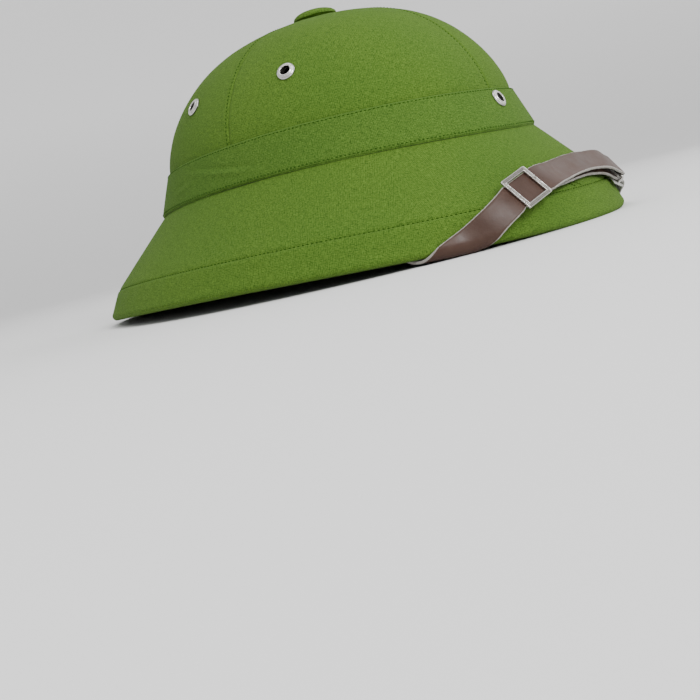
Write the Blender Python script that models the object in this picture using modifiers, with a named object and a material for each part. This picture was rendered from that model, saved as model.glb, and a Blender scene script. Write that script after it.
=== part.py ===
# Pith helmet: a moulded shell covered in cloth, with a leather chin strap worn over the front of
# the brim. Metres, up is +Z, the front is -Y and the wearer's right is -X. The helmet rests on the
# front and the back of its rim, and the origin is on the floor under the middle of the brim.
#
# An angle round the helmet starts at the front and grows towards the wearer's right. Each cloth
# and leather wall is an open sheet of points lofted on the same few rings, then given a thickness.

import math
from collections import namedtuple

import bmesh
import bpy
from mathutils import Matrix, Vector

# Overall sizes
BRIM_LENGTH = 0.311
BRIM_WIDTH = 0.266
CROWN_TOP = 0.1364
RIM_LIFT = 0.0068

# Walls and the gap that every two pieces keep
SHELL_WALL = 0.0025
CLOTH_WALL = 0.0010
GAP = 0.0003

# The cloth is turned under the edge of the brim, and is pressed flat where it rests
HEM_UNDER = 0.009
HEM_PRESS = 0.0007

# Top button on its stem
BUTTON_RADIUS = 0.0122
BUTTON_THICKNESS = 0.0050
BUTTON_CLEARANCE = 0.0023
BUTTON_STEM_RADIUS = 0.0040
BUTTON_WASHER_RADIUS = 0.0070
BUTTON_WASHER_THICKNESS = 0.0010

# Ventilation eyelets
EYELET_RADIUS = 0.0048
EYELET_BORE = 0.0026
EYELET_WALL = 0.0006
EYELET_DOME = 0.0013
EYELET_BACK_RADIUS = 0.0044
EYELET_BACK_LIFT = 0.0012

# Leather chin strap and its two slides
STRAP_WIDTH = 0.0130
STRAP_THICKNESS = 0.0013
STRAP_END_THICKNESS = 0.0008
SLIDE_BAR = 0.0022
SLIDE_THICKNESS = 0.0011
SLIDE_LENGTH = 0.0178
KEEPER_BAR = 0.0024
KEEPER_THICKNESS = 0.0009

# Rivets that hold the strap inside the brim
RIVET_RADIUS = 0.0045
RIVET_THICKNESS = 0.0012
RIVET_STEM_RADIUS = 0.0015
RIVET_BITE = 0.0019

# How finely the forms are divided
ROUND_STEPS = 40
SMALL_STEPS = 14
PANEL_COUNT = 4

# Rings that the helmet is lofted through. Lengths are shares of half the brim's length, half the
# brim's width and the crown's height, the shift is a share of the brim's length towards the back,
# nose and saddle raise the front and the two ends, and squareness is the oval's exponent.
Ring = namedtuple("Ring", "half_length half_width shift height nose saddle squareness")
JUNCTION = Ring(0.704, 0.719, -0.0207, 0.3915, 0.0088, -0.0191, 2.16)
BAND_TOP = Ring(0.637, 0.677, -0.0251, 0.5504, 0.0059, -0.0125, 2.16)
RIM_SQUARENESS = 2.0

# Shape of the dome above the band: how fast it closes in, how fast it rises, where its top lies
DOME_CLOSING = 0.74
DOME_RISING = 1.33
DOME_TOP_SHIFT = -0.0387
DOME_STATIONS = (0.0, 0.15, 0.30, 0.45, 0.60, 0.75, 0.87, 0.955)

# Section of the brim from the band to the rim, as shares of the way along, out and down, and how
# much further out the front of the brim bulges
BrimRow = namedtuple("BrimRow", "along out down front")
BRIM_SECTION = (
    BrimRow(0.00, 0.000, 0.000, 0.000),
    BrimRow(0.38, 0.415, 0.360, 0.020),
    BrimRow(0.76, 0.825, 0.725, 0.045),
    BrimRow(1.00, 1.000, 1.000, 0.000),
)
HEM_ALONG = 0.76

# Places of the eyelets: angle in degrees, and the share of the dome or of the band upwards
EYELETS = (
    ("eyelet_front", 0.0, 0.70),
    ("eyelet_right_front", 68.3, 1.37),
    ("eyelet_right_back", 111.7, 1.37),
    ("eyelet_left_front", -68.3, 1.37),
    ("eyelet_left_back", -111.7, 1.37),
)

# Line of the strap over the brim from rivet to rivet: angle in degrees, and the distance up from
# the rim as a share of the brim's slant. Below nought it runs on the underside.
StrapRow = namedtuple("StrapRow", "angle up")
STRAP_LINE = (
    StrapRow(-78.0, -0.840),
    StrapRow(-66.0, -0.600),
    StrapRow(-53.0, -0.330),
    StrapRow(-41.0, -0.060),
    StrapRow(-28.0, 0.130),
    StrapRow(-15.0, 0.265),
    StrapRow(-2.0, 0.392),
    StrapRow(11.0, 0.375),
    StrapRow(23.7, 0.272),
    StrapRow(31.0, 0.125),
    StrapRow(41.0, -0.065),
    StrapRow(53.0, -0.330),
    StrapRow(66.0, -0.600),
    StrapRow(78.0, -0.840),
)

# The slides: their angle on the side 1 or -1, and the share of the slant that they lie flat over
SLIDE_ANGLE = {1: 23.7, -1: -15.0}
SLIDE_NORMAL_SHARE = 0.12

# Lift of the two straps at the front, where they lie on each other
UPPER_STRAP_FRONT = 0.0046
LOWER_STRAP_FRONT = 0.0014

# Clearances of the strap over the outside of the brim, and under its facets
STRAP_LIFT = 0.0006
STRAP_UNDER_LIFT = 0.0007
STRAP_SKIN_LIFT = 0.0007

# Derived sizes
EDGE_RADIUS = CLOTH_WALL + GAP + SHELL_WALL / 2
SHELL_DEPTH = CLOTH_WALL + GAP
SHELL_INSIDE = SHELL_DEPTH + SHELL_WALL
STEM_HOLE = BUTTON_STEM_RADIUS + GAP
EYELET_BARREL = EYELET_BORE + EYELET_WALL
WINDOW_WIDTH = STRAP_WIDTH + 2 * GAP
SLIDE_WIDTH = WINDOW_WIDTH + 2 * SLIDE_BAR


def clear_scene():
    for old in list(bpy.data.objects):
        bpy.data.objects.remove(old, do_unlink=True)


def make_collection(name):
    found = bpy.data.collections.new(name)
    bpy.context.scene.collection.children.link(found)
    return found


def make_material(name, color, roughness, metallic=0.0):
    material = bpy.data.materials.new(name)
    material.use_nodes = True
    shader = material.node_tree.nodes["Principled BSDF"]
    shader.inputs["Base Color"].default_value = (*color, 1.0)
    shader.inputs["Roughness"].default_value = roughness
    shader.inputs["Metallic"].default_value = metallic
    return material


# Forms of the helmet

def oval(half_length, half_width, shift, squareness, angle):
    c = math.cos(angle)
    s = math.sin(angle)
    grow = (abs(c) ** squareness + abs(s) ** squareness) ** (-1 / squareness)
    return Vector((-half_width * s * grow, shift - half_length * c * grow, 0.0))


def ring_point(ring, angle):
    point = oval(ring.half_length * BRIM_LENGTH / 2, ring.half_width * BRIM_WIDTH / 2,
                 ring.shift * BRIM_LENGTH, ring.squareness, angle)
    rise = ring.height + ring.nose * math.cos(angle) + ring.saddle * math.cos(2 * angle)
    point.z = rise * CROWN_TOP
    return point


def dome_top():
    return Vector((0.0, DOME_TOP_SHIFT * BRIM_LENGTH, CROWN_TOP))


def rim_point(angle):
    # The rim's height puts the round of the turned edge on the floor at the front and the back
    point = oval(BRIM_LENGTH / 2, BRIM_WIDTH / 2, 0.0, RIM_SQUARENESS, angle)
    start = ring_point(JUNCTION, angle)
    hem = BRIM_SECTION[-2]
    run = (point - start).to_2d().length * (1 - hem.out)
    fall = start.z * (1 - hem.down)
    lean = run / math.hypot(run, fall)
    point.z = RIM_LIFT * math.sin(angle) ** 2 + EDGE_RADIUS * (1 + lean) - HEM_PRESS
    return point


def brim_point(angle, along):
    start = ring_point(JUNCTION, angle)
    reach = rim_point(angle) - start
    rows = BRIM_SECTION
    k = 0
    while k < len(rows) - 2 and along > rows[k + 1].along:
        k += 1
    part = (along - rows[k].along) / (rows[k + 1].along - rows[k].along)
    bulge = ((1 + math.cos(angle)) / 2) ** 2
    out_a = rows[k].out + rows[k].front * bulge
    out_b = rows[k + 1].out + rows[k + 1].front * bulge
    out = out_a + (out_b - out_a) * part
    down = rows[k].down + (rows[k + 1].down - rows[k].down) * part
    return start + Vector((reach.x * out, reach.y * out, reach.z * down))


def crown_point(angle, up):
    # up runs from 0 at the brim to 1 at the top of the band, and on to 2 at the top of the dome
    low = ring_point(JUNCTION, angle)
    high = ring_point(BAND_TOP, angle)
    if up <= 1:
        return low.lerp(high, up)
    quarter = math.pi / 2 * (up - 1)
    closing = max(math.cos(quarter), 0.0) ** DOME_CLOSING
    rising = math.sin(quarter) ** DOME_RISING
    top = dome_top()
    point = top.lerp(high, closing)
    point.z = high.z + (top.z - high.z) * rising
    return point


def surface_normal(form, angle, place, step):
    # The outward normal of a form, from its neighbours round the helmet and along it
    turn = 0.01
    round_way = form(angle + turn, place) - form(angle - turn, place)
    along_way = form(angle, place + step) - form(angle, place - step)
    normal = round_way.cross(along_way).normalized()
    return -normal if normal.z < 0 else normal


def brim_layer(angle, along, depth):
    normal = surface_normal(brim_point, angle, along, 0.02)
    return brim_point(angle, along) - normal * depth


def crown_layer(angle, up, depth):
    step = 0.01 if up < 1.95 else 0.002
    normal = surface_normal(crown_point, angle, up, step)
    return crown_point(angle, up) - normal * depth


def brim_slant(angle):
    return (rim_point(angle) - ring_point(JUNCTION, angle)).length


def edge_frame(angle):
    # Where the cloth turns under the edge: the round's centre, its way out and its way down
    normal = surface_normal(brim_point, angle, 0.95, 0.02)
    edge = brim_point(angle, 1.0)
    down = (edge - brim_point(angle, 0.9)).normalized()
    return edge - normal * EDGE_RADIUS, normal, down


def wrapped_point(angle, up, lift):
    # A point at a lift over the cloth. up is the distance from the edge: over the top where it is
    # above nought, then round the turned edge, and back along the underside.
    slant = brim_slant(angle)
    half_round = math.pi * EDGE_RADIUS
    if up >= 0:
        return brim_layer(angle, 1 - up / slant, -lift)
    if up > -half_round:
        centre, normal, down = edge_frame(angle)
        turn = -up / EDGE_RADIUS
        reach = EDGE_RADIUS + lift
        return centre + (normal * math.cos(turn) + down * math.sin(turn)) * reach
    under = -up - half_round
    return brim_layer(angle, 1 - under / slant, 2 * EDGE_RADIUS + lift)


# Meshes

def add_object(name, mesh, material, home):
    made = bpy.data.objects.new(name, mesh)
    home.objects.link(made)
    if material:
        mesh.materials.append(material)
    return made


def grid_mesh(name, rows, closed):
    # A sheet of quads through rows of points, each row running round the helmet
    mesh = bpy.data.meshes.new(name)
    build = bmesh.new()
    verts = [[build.verts.new(point) for point in row] for row in rows]
    count = len(rows[0])
    for low, high in zip(verts, verts[1:]):
        for k in range(count if closed else count - 1):
            n = (k + 1) % count
            build.faces.new((low[k], low[n], high[n], high[k]))
    build.to_mesh(mesh)
    build.free()
    return mesh


def smooth(mesh, degrees=35.0):
    mesh.shade_smooth()
    mesh.set_sharp_from_angle(angle=math.radians(degrees))


def sheet(name, rows, closed, wall, material, home):
    # The rows run from the top down, so that the faces look outwards
    made = add_object(name, grid_mesh(name, rows, closed), material, home)
    smooth(made.data)
    thick = made.modifiers.new("wall", "SOLIDIFY")
    thick.thickness = wall
    thick.offset = -1.0
    thick.use_even_offset = True
    thick.use_quality_normals = True
    return made


def cut(target, cutter):
    hole = target.modifiers.new("hole", "BOOLEAN")
    hole.operation = "DIFFERENCE"
    hole.object = cutter


def turned(name, profile, matrix, closed, material, home):
    # A profile of radius and height, turned about the local Z axis
    mesh = bpy.data.meshes.new(name)
    build = bmesh.new()
    verts = [build.verts.new((radius, 0.0, height)) for radius, height in profile]
    for a, b in zip(verts, verts[1:]):
        build.edges.new((a, b))
    if closed:
        build.edges.new((verts[-1], verts[0]))
    build.to_mesh(mesh)
    build.free()
    made = add_object(name, mesh, material, home)
    made.matrix_world = matrix
    spin = made.modifiers.new("turn", "SCREW")
    spin.steps = SMALL_STEPS
    spin.render_steps = SMALL_STEPS
    spin.use_merge_vertices = True
    spin.merge_threshold = 0.00001
    spin.use_normal_calculate = False
    spin.use_smooth_shade = True
    return made


def cylinder_cutter(name, radius, low, high, matrix, home):
    mesh = bpy.data.meshes.new(name)
    build = bmesh.new()
    bmesh.ops.create_cone(build, cap_ends=True, segments=SMALL_STEPS, radius1=radius,
                          radius2=radius, depth=high - low)
    bmesh.ops.translate(build, verts=build.verts, vec=(0.0, 0.0, (high + low) / 2))
    build.to_mesh(mesh)
    build.free()
    made = add_object(name, mesh, None, home)
    made.matrix_world = matrix
    made.hide_render = True
    made.display_type = "WIRE"
    return made


def facing(point, normal, along=None):
    # A frame at a point whose Z axis is the normal, and whose X axis lies near along
    z = normal.normalized()
    guide = along if along else Vector((0.0, 0.0, 1.0))
    y = z.cross(guide).normalized()
    x = y.cross(z)
    frame = Matrix((x, y, z)).transposed().to_4x4()
    frame.translation = point
    return frame


def full_round():
    return [2 * math.pi * k / ROUND_STEPS for k in range(ROUND_STEPS)]


# Pieces of the body

def brim_stations(start, end):
    inner = [row.along for row in BRIM_SECTION[1:-1]]
    half = (BRIM_SECTION[1].along / 2, (HEM_ALONG + 1) / 2)
    return [start] + sorted(inner + list(half)) + [end]


def shell(material, home):
    # The dome's own rows, then the foot of the crown wall, then the brim as far as the round
    rows = []
    for station in reversed(DOME_STATIONS[1:]):
        rows.append([crown_layer(angle, 1 + station, SHELL_DEPTH) for angle in full_round()])
    for up in (1.0, 0.5):
        rows.append([crown_layer(angle, up, SHELL_DEPTH) for angle in full_round()])
    for along in brim_stations(0.0, 1.0):
        rows.append([brim_layer(angle, along, SHELL_DEPTH) for angle in full_round()])
    rows[-1] = []
    for angle in full_round():
        centre, normal, down = edge_frame(angle)
        rows[-1].append(centre + normal * SHELL_WALL / 2 - down * HEM_PRESS)
    top = stem_ring(SHELL_DEPTH)
    return sheet("shell", [top] + rows, True, SHELL_WALL, material, home)


def stem_ring(depth):
    # The round hole at the top of the dome that the button's stem goes through
    top = dome_top()
    ring = []
    for angle in full_round():
        ring.append(Vector((-STEM_HOLE * math.sin(angle), top.y - STEM_HOLE * math.cos(angle),
                            top.z - depth)))
    return ring


def crown_panel(name, first, material, home):
    # One gore of the crown cloth, from the stem hole down to the brim
    each = ROUND_STEPS // PANEL_COUNT
    angles = [first + 2 * math.pi * k / ROUND_STEPS for k in range(each + 1)]
    foot = GAP / (crown_point(first, 1.0) - crown_point(first, 0.0)).length
    top = dome_top()
    rows = [[Vector((-STEM_HOLE * math.sin(a), top.y - STEM_HOLE * math.cos(a), top.z))
             for a in angles]]
    for station in reversed(DOME_STATIONS[1:]):
        rows.append([crown_point(angle, 1 + station) for angle in angles])
    for up in (1.0, 0.5, foot):
        rows.append([crown_point(angle, up) for angle in angles])
    for row in rows:
        for k, way in ((0, 1.0), (-1, -1.0)):
            angle = angles[k]
            aside = Vector((-math.cos(angle), math.sin(angle), 0.0))
            row[k] = row[k] + aside * (way * GAP / 2)
    return sheet(name, rows, False, CLOTH_WALL, material, home)


def hat_band(material, home):
    rows = []
    for up in (1.0, 0.5, 0.0):
        rows.append([crown_layer(angle, up, -(GAP + CLOTH_WALL)) for angle in full_round()])
    return sheet("hat_band", rows, True, CLOTH_WALL, material, home)


def brim_cover(material, home):
    # From under the band, over the brim, round the edge, and a hem turned under it
    rows = []
    for along in brim_stations(0.012, 1.0):
        rows.append([brim_point(angle, along) for angle in full_round()])
    half_round = math.pi * EDGE_RADIUS
    for share in (0.25, 0.5, 0.75, 1.0):
        rows.append([wrapped_point(angle, -half_round * share * 0.999, 0.0)
                     for angle in full_round()])
    rows.append([wrapped_point(angle, -half_round - HEM_UNDER, 0.0) for angle in full_round()])
    for row in rows:
        for point in row:
            point.z = max(point.z, 0.0)
    return sheet("brim_cover", rows, True, CLOTH_WALL, material, home)


def top_button(material, home):
    seat = dome_top()
    low = BUTTON_CLEARANCE
    high = low + BUTTON_THICKNESS
    washer = -(SHELL_INSIDE + GAP)
    profile = [
        (0.0, high),
        (BUTTON_RADIUS * 0.40, high - BUTTON_THICKNESS * 0.07),
        (BUTTON_RADIUS * 0.72, high - BUTTON_THICKNESS * 0.26),
        (BUTTON_RADIUS * 0.93, high - BUTTON_THICKNESS * 0.56),
        (BUTTON_RADIUS, high - BUTTON_THICKNESS * 0.80),
        (BUTTON_RADIUS * 0.96, low + BUTTON_THICKNESS * 0.04),
        (BUTTON_RADIUS * 0.90, low),
        (BUTTON_STEM_RADIUS * 1.30, low),
        (BUTTON_STEM_RADIUS, low - BUTTON_STEM_RADIUS * 0.30),
        (BUTTON_STEM_RADIUS, washer),
        (BUTTON_WASHER_RADIUS, washer),
        (BUTTON_WASHER_RADIUS, washer - BUTTON_WASHER_THICKNESS),
        (0.0, washer - BUTTON_WASHER_THICKNESS),
    ]
    return turned("top_button", profile, Matrix.Translation(seat), False, material, home)


def eyelet_frame(angle, up):
    normal = surface_normal(crown_point, angle, up, 0.02)
    return facing(crown_point(angle, up), normal)


def eyelet(name, angle, up, material, home, cutters):
    # A domed flange with a rolled lip, a barrel through the walls and a flange inside
    banded = up < 1
    seat = GAP + (CLOTH_WALL + GAP if banded else 0.0)
    inside = -(SHELL_INSIDE + EYELET_BACK_LIFT)
    top = seat + EYELET_DOME
    back = inside - EYELET_WALL
    flat = EYELET_BORE + (EYELET_RADIUS - EYELET_BORE) * 0.30
    shoulder = EYELET_BORE + (EYELET_RADIUS - EYELET_BORE) * 0.75
    profile = [
        (EYELET_BORE, top - EYELET_DOME * 0.25),
        (flat, top),
        (shoulder, top),
        (EYELET_RADIUS, seat + EYELET_WALL * 0.5),
        (EYELET_RADIUS * 0.96, seat),
        (EYELET_BARREL, seat),
        (EYELET_BARREL, inside),
        (EYELET_BACK_RADIUS, inside),
        (EYELET_BACK_RADIUS, back),
        (EYELET_BORE, back),
    ]
    frame = eyelet_frame(angle, up)
    made = turned(name, profile, frame, True, material, home)
    reach = 3 * SHELL_INSIDE
    hole = cylinder_cutter("cut_" + name, EYELET_BARREL + GAP, -reach, reach, frame, cutters)
    return made, hole


# The strap's line and its two ways across it

def line_point(angle):
    # Up from the rim at an angle, on a smooth curve through the rows of the strap's line
    rows = STRAP_LINE
    k = 0
    while k < len(rows) - 2 and angle > rows[k + 1].angle:
        k += 1
    a, b = rows[k], rows[k + 1]
    before, after = rows[max(k - 1, 0)], rows[min(k + 2, len(rows) - 1)]
    span = b.angle - a.angle
    part = (angle - a.angle) / span
    slope_a = (b.up - before.up) / (b.angle - before.angle)
    slope_b = (after.up - a.up) / (after.angle - a.angle)
    p2 = part * part
    p3 = p2 * part
    return ((2 * p3 - 3 * p2 + 1) * a.up + (p3 - 2 * p2 + part) * span * slope_a
            + (3 * p2 - 2 * p3) * b.up + (p3 - p2) * span * slope_b)


def strap_spot(angle):
    # The strap's middle at an angle in degrees, as radians and metres up from the edge
    turn = math.radians(angle)
    return turn, line_point(angle) * brim_slant(turn)


def spread(turn, up):
    # Metres round the helmet for each radian, at a distance up from the edge
    step = 0.01
    a = wrapped_point(turn - step, up, 0.0)
    b = wrapped_point(turn + step, up, 0.0)
    return (b - a).length / (2 * step)


def strap_point(angle, across, lift, skew):
    # A point across the strap. With a skew of 1 the row lies parallel to the rim.
    turn, up = strap_spot(angle)
    step = 0.5
    turn_b, up_b = strap_spot(angle + step)
    wide = spread(turn, up)
    run = Vector(((turn_b - turn) * wide, up_b - up)).normalized()
    side = Vector((-run.y, run.x))
    if side.y < 0:
        side = -side
    slide = 0.0
    if skew and abs(run.y) > 0.05:
        slide = -across * side.y / run.y * skew
    moved = side * across + run * slide
    return wrapped_point(turn + moved.x / wide, up + moved.y, lift)


def slide_frame(side):
    # On the brim under the slide's middle: Z away from the brim, X along the strap outwards
    angle = SLIDE_ANGLE[side]
    turn, up = strap_spot(angle)
    point = strap_point(angle, 0.0, 0.0, 0.0)
    ahead = strap_point(angle + side, 0.0, 0.0, 0.0)
    normal = surface_normal(brim_point, turn, 1 - up / brim_slant(turn), SLIDE_NORMAL_SHARE)
    return facing(point, normal, ahead - point)


# A section of a strap: where its upper and its lower face lie along the strap and how high. Along
# is an angle in degrees, or metres outwards from the middle of the slide on side 1 or -1.
Section = namedtuple("Section", "top_at low_at top low skew slide")


def section_point(row, at, across, lift):
    if row.slide:
        return slide_frame(row.slide) @ Vector((at, -row.slide * across, lift))
    return strap_point(at, across, lift, row.skew)


def build_strap(name, sections, material, home):
    # Lofted through its sections into one closed band
    mesh = bpy.data.meshes.new(name)
    build = bmesh.new()
    shares = (-0.5, -0.17, 0.17, 0.5)
    loops = []
    for row in sections:
        top = [section_point(row, row.top_at, s * STRAP_WIDTH, row.top) for s in shares]
        low = [section_point(row, row.low_at, s * STRAP_WIDTH, row.low) for s in shares]
        loops.append([build.verts.new(point) for point in top + low[::-1]])
    count = len(loops[0])
    for a, b in zip(loops, loops[1:]):
        for k in range(count):
            n = (k + 1) % count
            build.faces.new((a[k], a[n], b[n], b[k]))
    half = len(shares)
    for loop in (loops[0], loops[-1]):
        for k in range(half - 1):
            build.faces.new((loop[k], loop[k + 1], loop[count - 2 - k], loop[count - 1 - k]))
    bmesh.ops.recalc_face_normals(build, faces=build.faces)
    build.to_mesh(mesh)
    build.free()
    made = add_object(name, mesh, material, home)
    smooth(mesh)
    return made


def even_section(at, low, skew=0.0, slide=0):
    return Section(at, at, low + STRAP_THICKNESS, low, skew, slide)


def angle_at_up(up, side):
    # The angle at which the strap's middle lies this far up from the edge, outside the slide
    near, far = SLIDE_ANGLE[side], side * STRAP_LINE[-1].angle
    for _ in range(40):
        middle = (near + far) / 2
        if strap_spot(middle)[1] > up:
            near = middle
        else:
            far = middle
    return middle


# Heights over the brim of what is stacked at the slide on the wearer's right, from below: the
# turned-back end, the keeper bar, the lower strap, the upper strap and the frame. The slide on the
# left is the other way up: frame, lower strap, turned-back end, keeper bar and upper strap.
BACK_END_RIGHT = STRAP_LIFT
KEEPER_RIGHT = BACK_END_RIGHT + STRAP_END_THICKNESS + GAP
LOWER_STRAP_RIGHT = KEEPER_RIGHT + KEEPER_THICKNESS + GAP
UPPER_STRAP_RIGHT = LOWER_STRAP_RIGHT + STRAP_THICKNESS + GAP
FRAME_RIGHT = UPPER_STRAP_RIGHT + STRAP_THICKNESS + GAP
FRAME_LEFT = STRAP_LIFT
LOWER_STRAP_LEFT = FRAME_LEFT + SLIDE_THICKNESS + GAP
BACK_END_LEFT = LOWER_STRAP_LEFT + STRAP_THICKNESS + GAP
KEEPER_LEFT = BACK_END_LEFT + STRAP_END_THICKNESS + GAP
UPPER_STRAP_LEFT = KEEPER_LEFT + KEEPER_THICKNESS + GAP


def hanging_rows(side):
    # From the rivet inside the brim, under the hem, round the edge and up towards the slide
    half_round = math.pi * EDGE_RADIUS
    skin = STRAP_SKIN_LIFT - (2 * EDGE_RADIUS - SHELL_INSIDE)
    hem_end = -half_round - HEM_UNDER
    rows = []
    for back, skew in ((0.0, 0.0), (7.0, 0.3), (14.0, 0.8)):
        rows.append(even_section(side * (STRAP_LINE[-1].angle - back), skin, skew))
    for up, lift, skew in (
        (hem_end - 0.8 * STRAP_WIDTH, skin, 1.0),
        (hem_end - 0.3 * STRAP_WIDTH, STRAP_UNDER_LIFT, 1.0),
        (-half_round, STRAP_LIFT, 1.0),
        (-half_round * 0.75, STRAP_LIFT, 1.0),
        (-half_round * 0.50, STRAP_LIFT, 1.0),
        (-half_round * 0.25, STRAP_LIFT, 1.0),
        (0.0, STRAP_LIFT, 1.0),
        (0.30 * STRAP_WIDTH, STRAP_LIFT, 0.8),
        (0.65 * STRAP_WIDTH, 1.5 * STRAP_LIFT, 0.3),
    ):
        rows.append(even_section(angle_at_up(up, side), lift, skew))
    return rows


def looped_end(low, back, slide):
    # The end passes over the keeper bar, turns round it and comes back on its other side
    thin = STRAP_END_THICKNESS
    inner = (low - back - thin) / 2
    outer = (low + STRAP_THICKNESS - back) / 2
    start = KEEPER_BAR / 2 + GAP
    rows = []
    for degrees in (0.0, 45.0, 90.0, 135.0, 180.0):
        turn = math.radians(degrees)
        rows.append(Section(
            start + outer * math.sin(turn),
            start + inner * math.sin(turn),
            back + outer + outer * math.cos(turn),
            back + thin + inner + inner * math.cos(turn),
            0.0,
            slide,
        ))
    reach = -SLIDE_LENGTH / 4
    rows.append(Section(reach, reach, back, back + thin, 0.0, slide))
    return rows


def beside_slide(side):
    # The angle at which the slide on this side ends, towards the front
    turn, up = strap_spot(SLIDE_ANGLE[side])
    return SLIDE_ANGLE[side] - side * math.degrees(SLIDE_LENGTH / 2 / spread(turn, up))


def front_rows(side, start, middle, end):
    # Between the slides, from the one on this side: the lift at the start, the middle and the end
    near, far = beside_slide(side), beside_slide(-side)
    rows = []
    for share in (1 / 6, 1 / 3, 1 / 2, 2 / 3, 5 / 6):
        a, b, part = (start, middle, 2 * share) if share < 0.5 else (middle, end, 2 * share - 1)
        ease = part * part * (3 - 2 * part)
        rows.append(even_section(near + (far - near) * share, a + (b - a) * ease))
    return rows


def strap(name, side, slide_lift, front_lift, keeper_lift, back_lift, material, home):
    # From the rivet on its side, through the slide there, over the front, and with its end round
    # the keeper bar of the other slide
    half = SLIDE_LENGTH / 2
    rows = hanging_rows(side)
    for metres in (half, 0.0, -half):
        rows.append(even_section(metres, slide_lift, 0.0, side))
    rows += front_rows(side, slide_lift, front_lift, keeper_lift)
    rows.append(even_section(-half, keeper_lift, 0.0, -side))
    rows += looped_end(keeper_lift, back_lift, -side)
    return build_strap(name, rows, material, home)


# Metal of the strap

def rounded_corners(half_x, half_y, radius):
    points = []
    for corner in range(4):
        start = corner * math.pi / 2
        x = (half_x - radius) * (1 if corner in (0, 3) else -1)
        y = (half_y - radius) * (1 if corner in (0, 1) else -1)
        for k in range(3):
            turn = start + k * math.pi / 4
            points.append((x + radius * math.cos(turn), y + radius * math.sin(turn)))
    return points


def slide_mesh(name, up_side):
    # A stamped frame: one ridged section carried round a rectangle. up_side is the way it faces.
    section = (
        (0.00, 0.00),
        (0.00, 0.70),
        (0.16, 1.00),
        (0.34, 0.80),
        (0.66, 0.80),
        (0.84, 1.00),
        (1.00, 0.70),
        (1.00, 0.00),
    )
    corner = 0.5 * SLIDE_BAR
    rows = []
    for inward, height in section:
        inset = inward * SLIDE_BAR
        radius = max(corner - inset * 0.4, corner * 0.3)
        outline = rounded_corners(SLIDE_LENGTH / 2 - inset, SLIDE_WIDTH / 2 - inset, radius)
        level = height if up_side > 0 else 1 - height
        rows.append([Vector((x, y, level * SLIDE_THICKNESS)) for x, y in outline])
    mesh = bpy.data.meshes.new(name)
    build = bmesh.new()
    verts = [[build.verts.new(point) for point in row] for row in rows]
    count = len(rows[0])
    for low, high in zip(verts, verts[1:] + verts[:1]):
        for k in range(count):
            n = (k + 1) % count
            build.faces.new((low[k], low[n], high[n], high[k]))
    bmesh.ops.recalc_face_normals(build, faces=build.faces)
    build.to_mesh(mesh)
    build.free()
    smooth(mesh)
    return mesh


def box_mesh(build, low, high):
    size = Vector(high) - Vector(low)
    middle = (Vector(high) + Vector(low)) / 2
    made = bmesh.ops.create_cube(build, size=1.0)
    bmesh.ops.scale(build, verts=made["verts"], vec=size)
    bmesh.ops.translate(build, verts=made["verts"], vec=middle)


def joined_box(target, name, low, high, frame, cutters):
    mesh = bpy.data.meshes.new(name)
    build = bmesh.new()
    box_mesh(build, low, high)
    build.to_mesh(mesh)
    build.free()
    made = add_object(name, mesh, None, cutters)
    made.matrix_world = frame
    made.hide_render = True
    made.display_type = "WIRE"
    union = target.modifiers.new(name, "BOOLEAN")
    union.operation = "UNION"
    union.object = made


def slide(name, side, material, home, cutters):
    # The frame, and a keeper bar on two posts at the far side of the straps
    height = FRAME_RIGHT if side > 0 else FRAME_LEFT
    keeper = (KEEPER_RIGHT if side > 0 else KEEPER_LEFT) - height
    frame = slide_frame(side) @ Matrix.Translation((0.0, 0.0, height))
    made = add_object(name, slide_mesh(name, side), material, home)
    made.matrix_world = frame
    half = KEEPER_BAR / 2
    inner = WINDOW_WIDTH / 2 + 0.12 * SLIDE_BAR
    outer = SLIDE_WIDTH / 2 - 0.12 * SLIDE_BAR
    middle = SLIDE_THICKNESS / 2
    far = keeper + KEEPER_THICKNESS / 2
    low, high = min(middle, far), max(middle, far)
    for way in (-1, 1):
        ends = sorted((way * inner, way * outer))
        joined_box(made, f"{name}_post_{'a' if way < 0 else 'b'}", (-half, ends[0], low),
                   (half, ends[1], high), frame, cutters)
    joined_box(made, f"{name}_keeper", (-half * 0.98, -outer * 0.99, keeper),
               (half * 0.98, outer * 0.99, keeper + KEEPER_THICKNESS), frame, cutters)
    return made


def rivet_frame(side):
    # On the inside of the shell, under the strap's end
    angle = side * STRAP_LINE[-1].angle
    turn, up = strap_spot(angle)
    turn -= side * 0.55 * STRAP_WIDTH / spread(turn, up)
    slant = brim_slant(turn)
    under = -line_point(math.degrees(turn)) * slant - math.pi * EDGE_RADIUS
    along = 1 - under / slant
    normal = surface_normal(brim_point, turn, along, 0.02)
    return facing(brim_point(turn, along) - normal * SHELL_INSIDE, -normal)


def rivet(name, side, material, home, cutters):
    # A domed head under the strap, and a stem through it into the shell
    seat = STRAP_SKIN_LIFT + STRAP_THICKNESS + GAP
    top = seat + RIVET_THICKNESS
    profile = [
        (0.0, top),
        (RIVET_RADIUS * 0.45, top - RIVET_THICKNESS * 0.08),
        (RIVET_RADIUS * 0.82, top - RIVET_THICKNESS * 0.35),
        (RIVET_RADIUS, seat + RIVET_THICKNESS * 0.20),
        (RIVET_RADIUS, seat),
        (RIVET_STEM_RADIUS, seat),
        (RIVET_STEM_RADIUS, -RIVET_BITE),
        (0.0, -RIVET_BITE),
    ]
    frame = rivet_frame(side)
    made = turned(name, profile, frame, False, material, home)
    hole = cylinder_cutter("cut_" + name, RIVET_STEM_RADIUS + GAP, -RIVET_BITE - GAP, 2 * top,
                           frame, cutters)
    return made, hole


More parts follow.
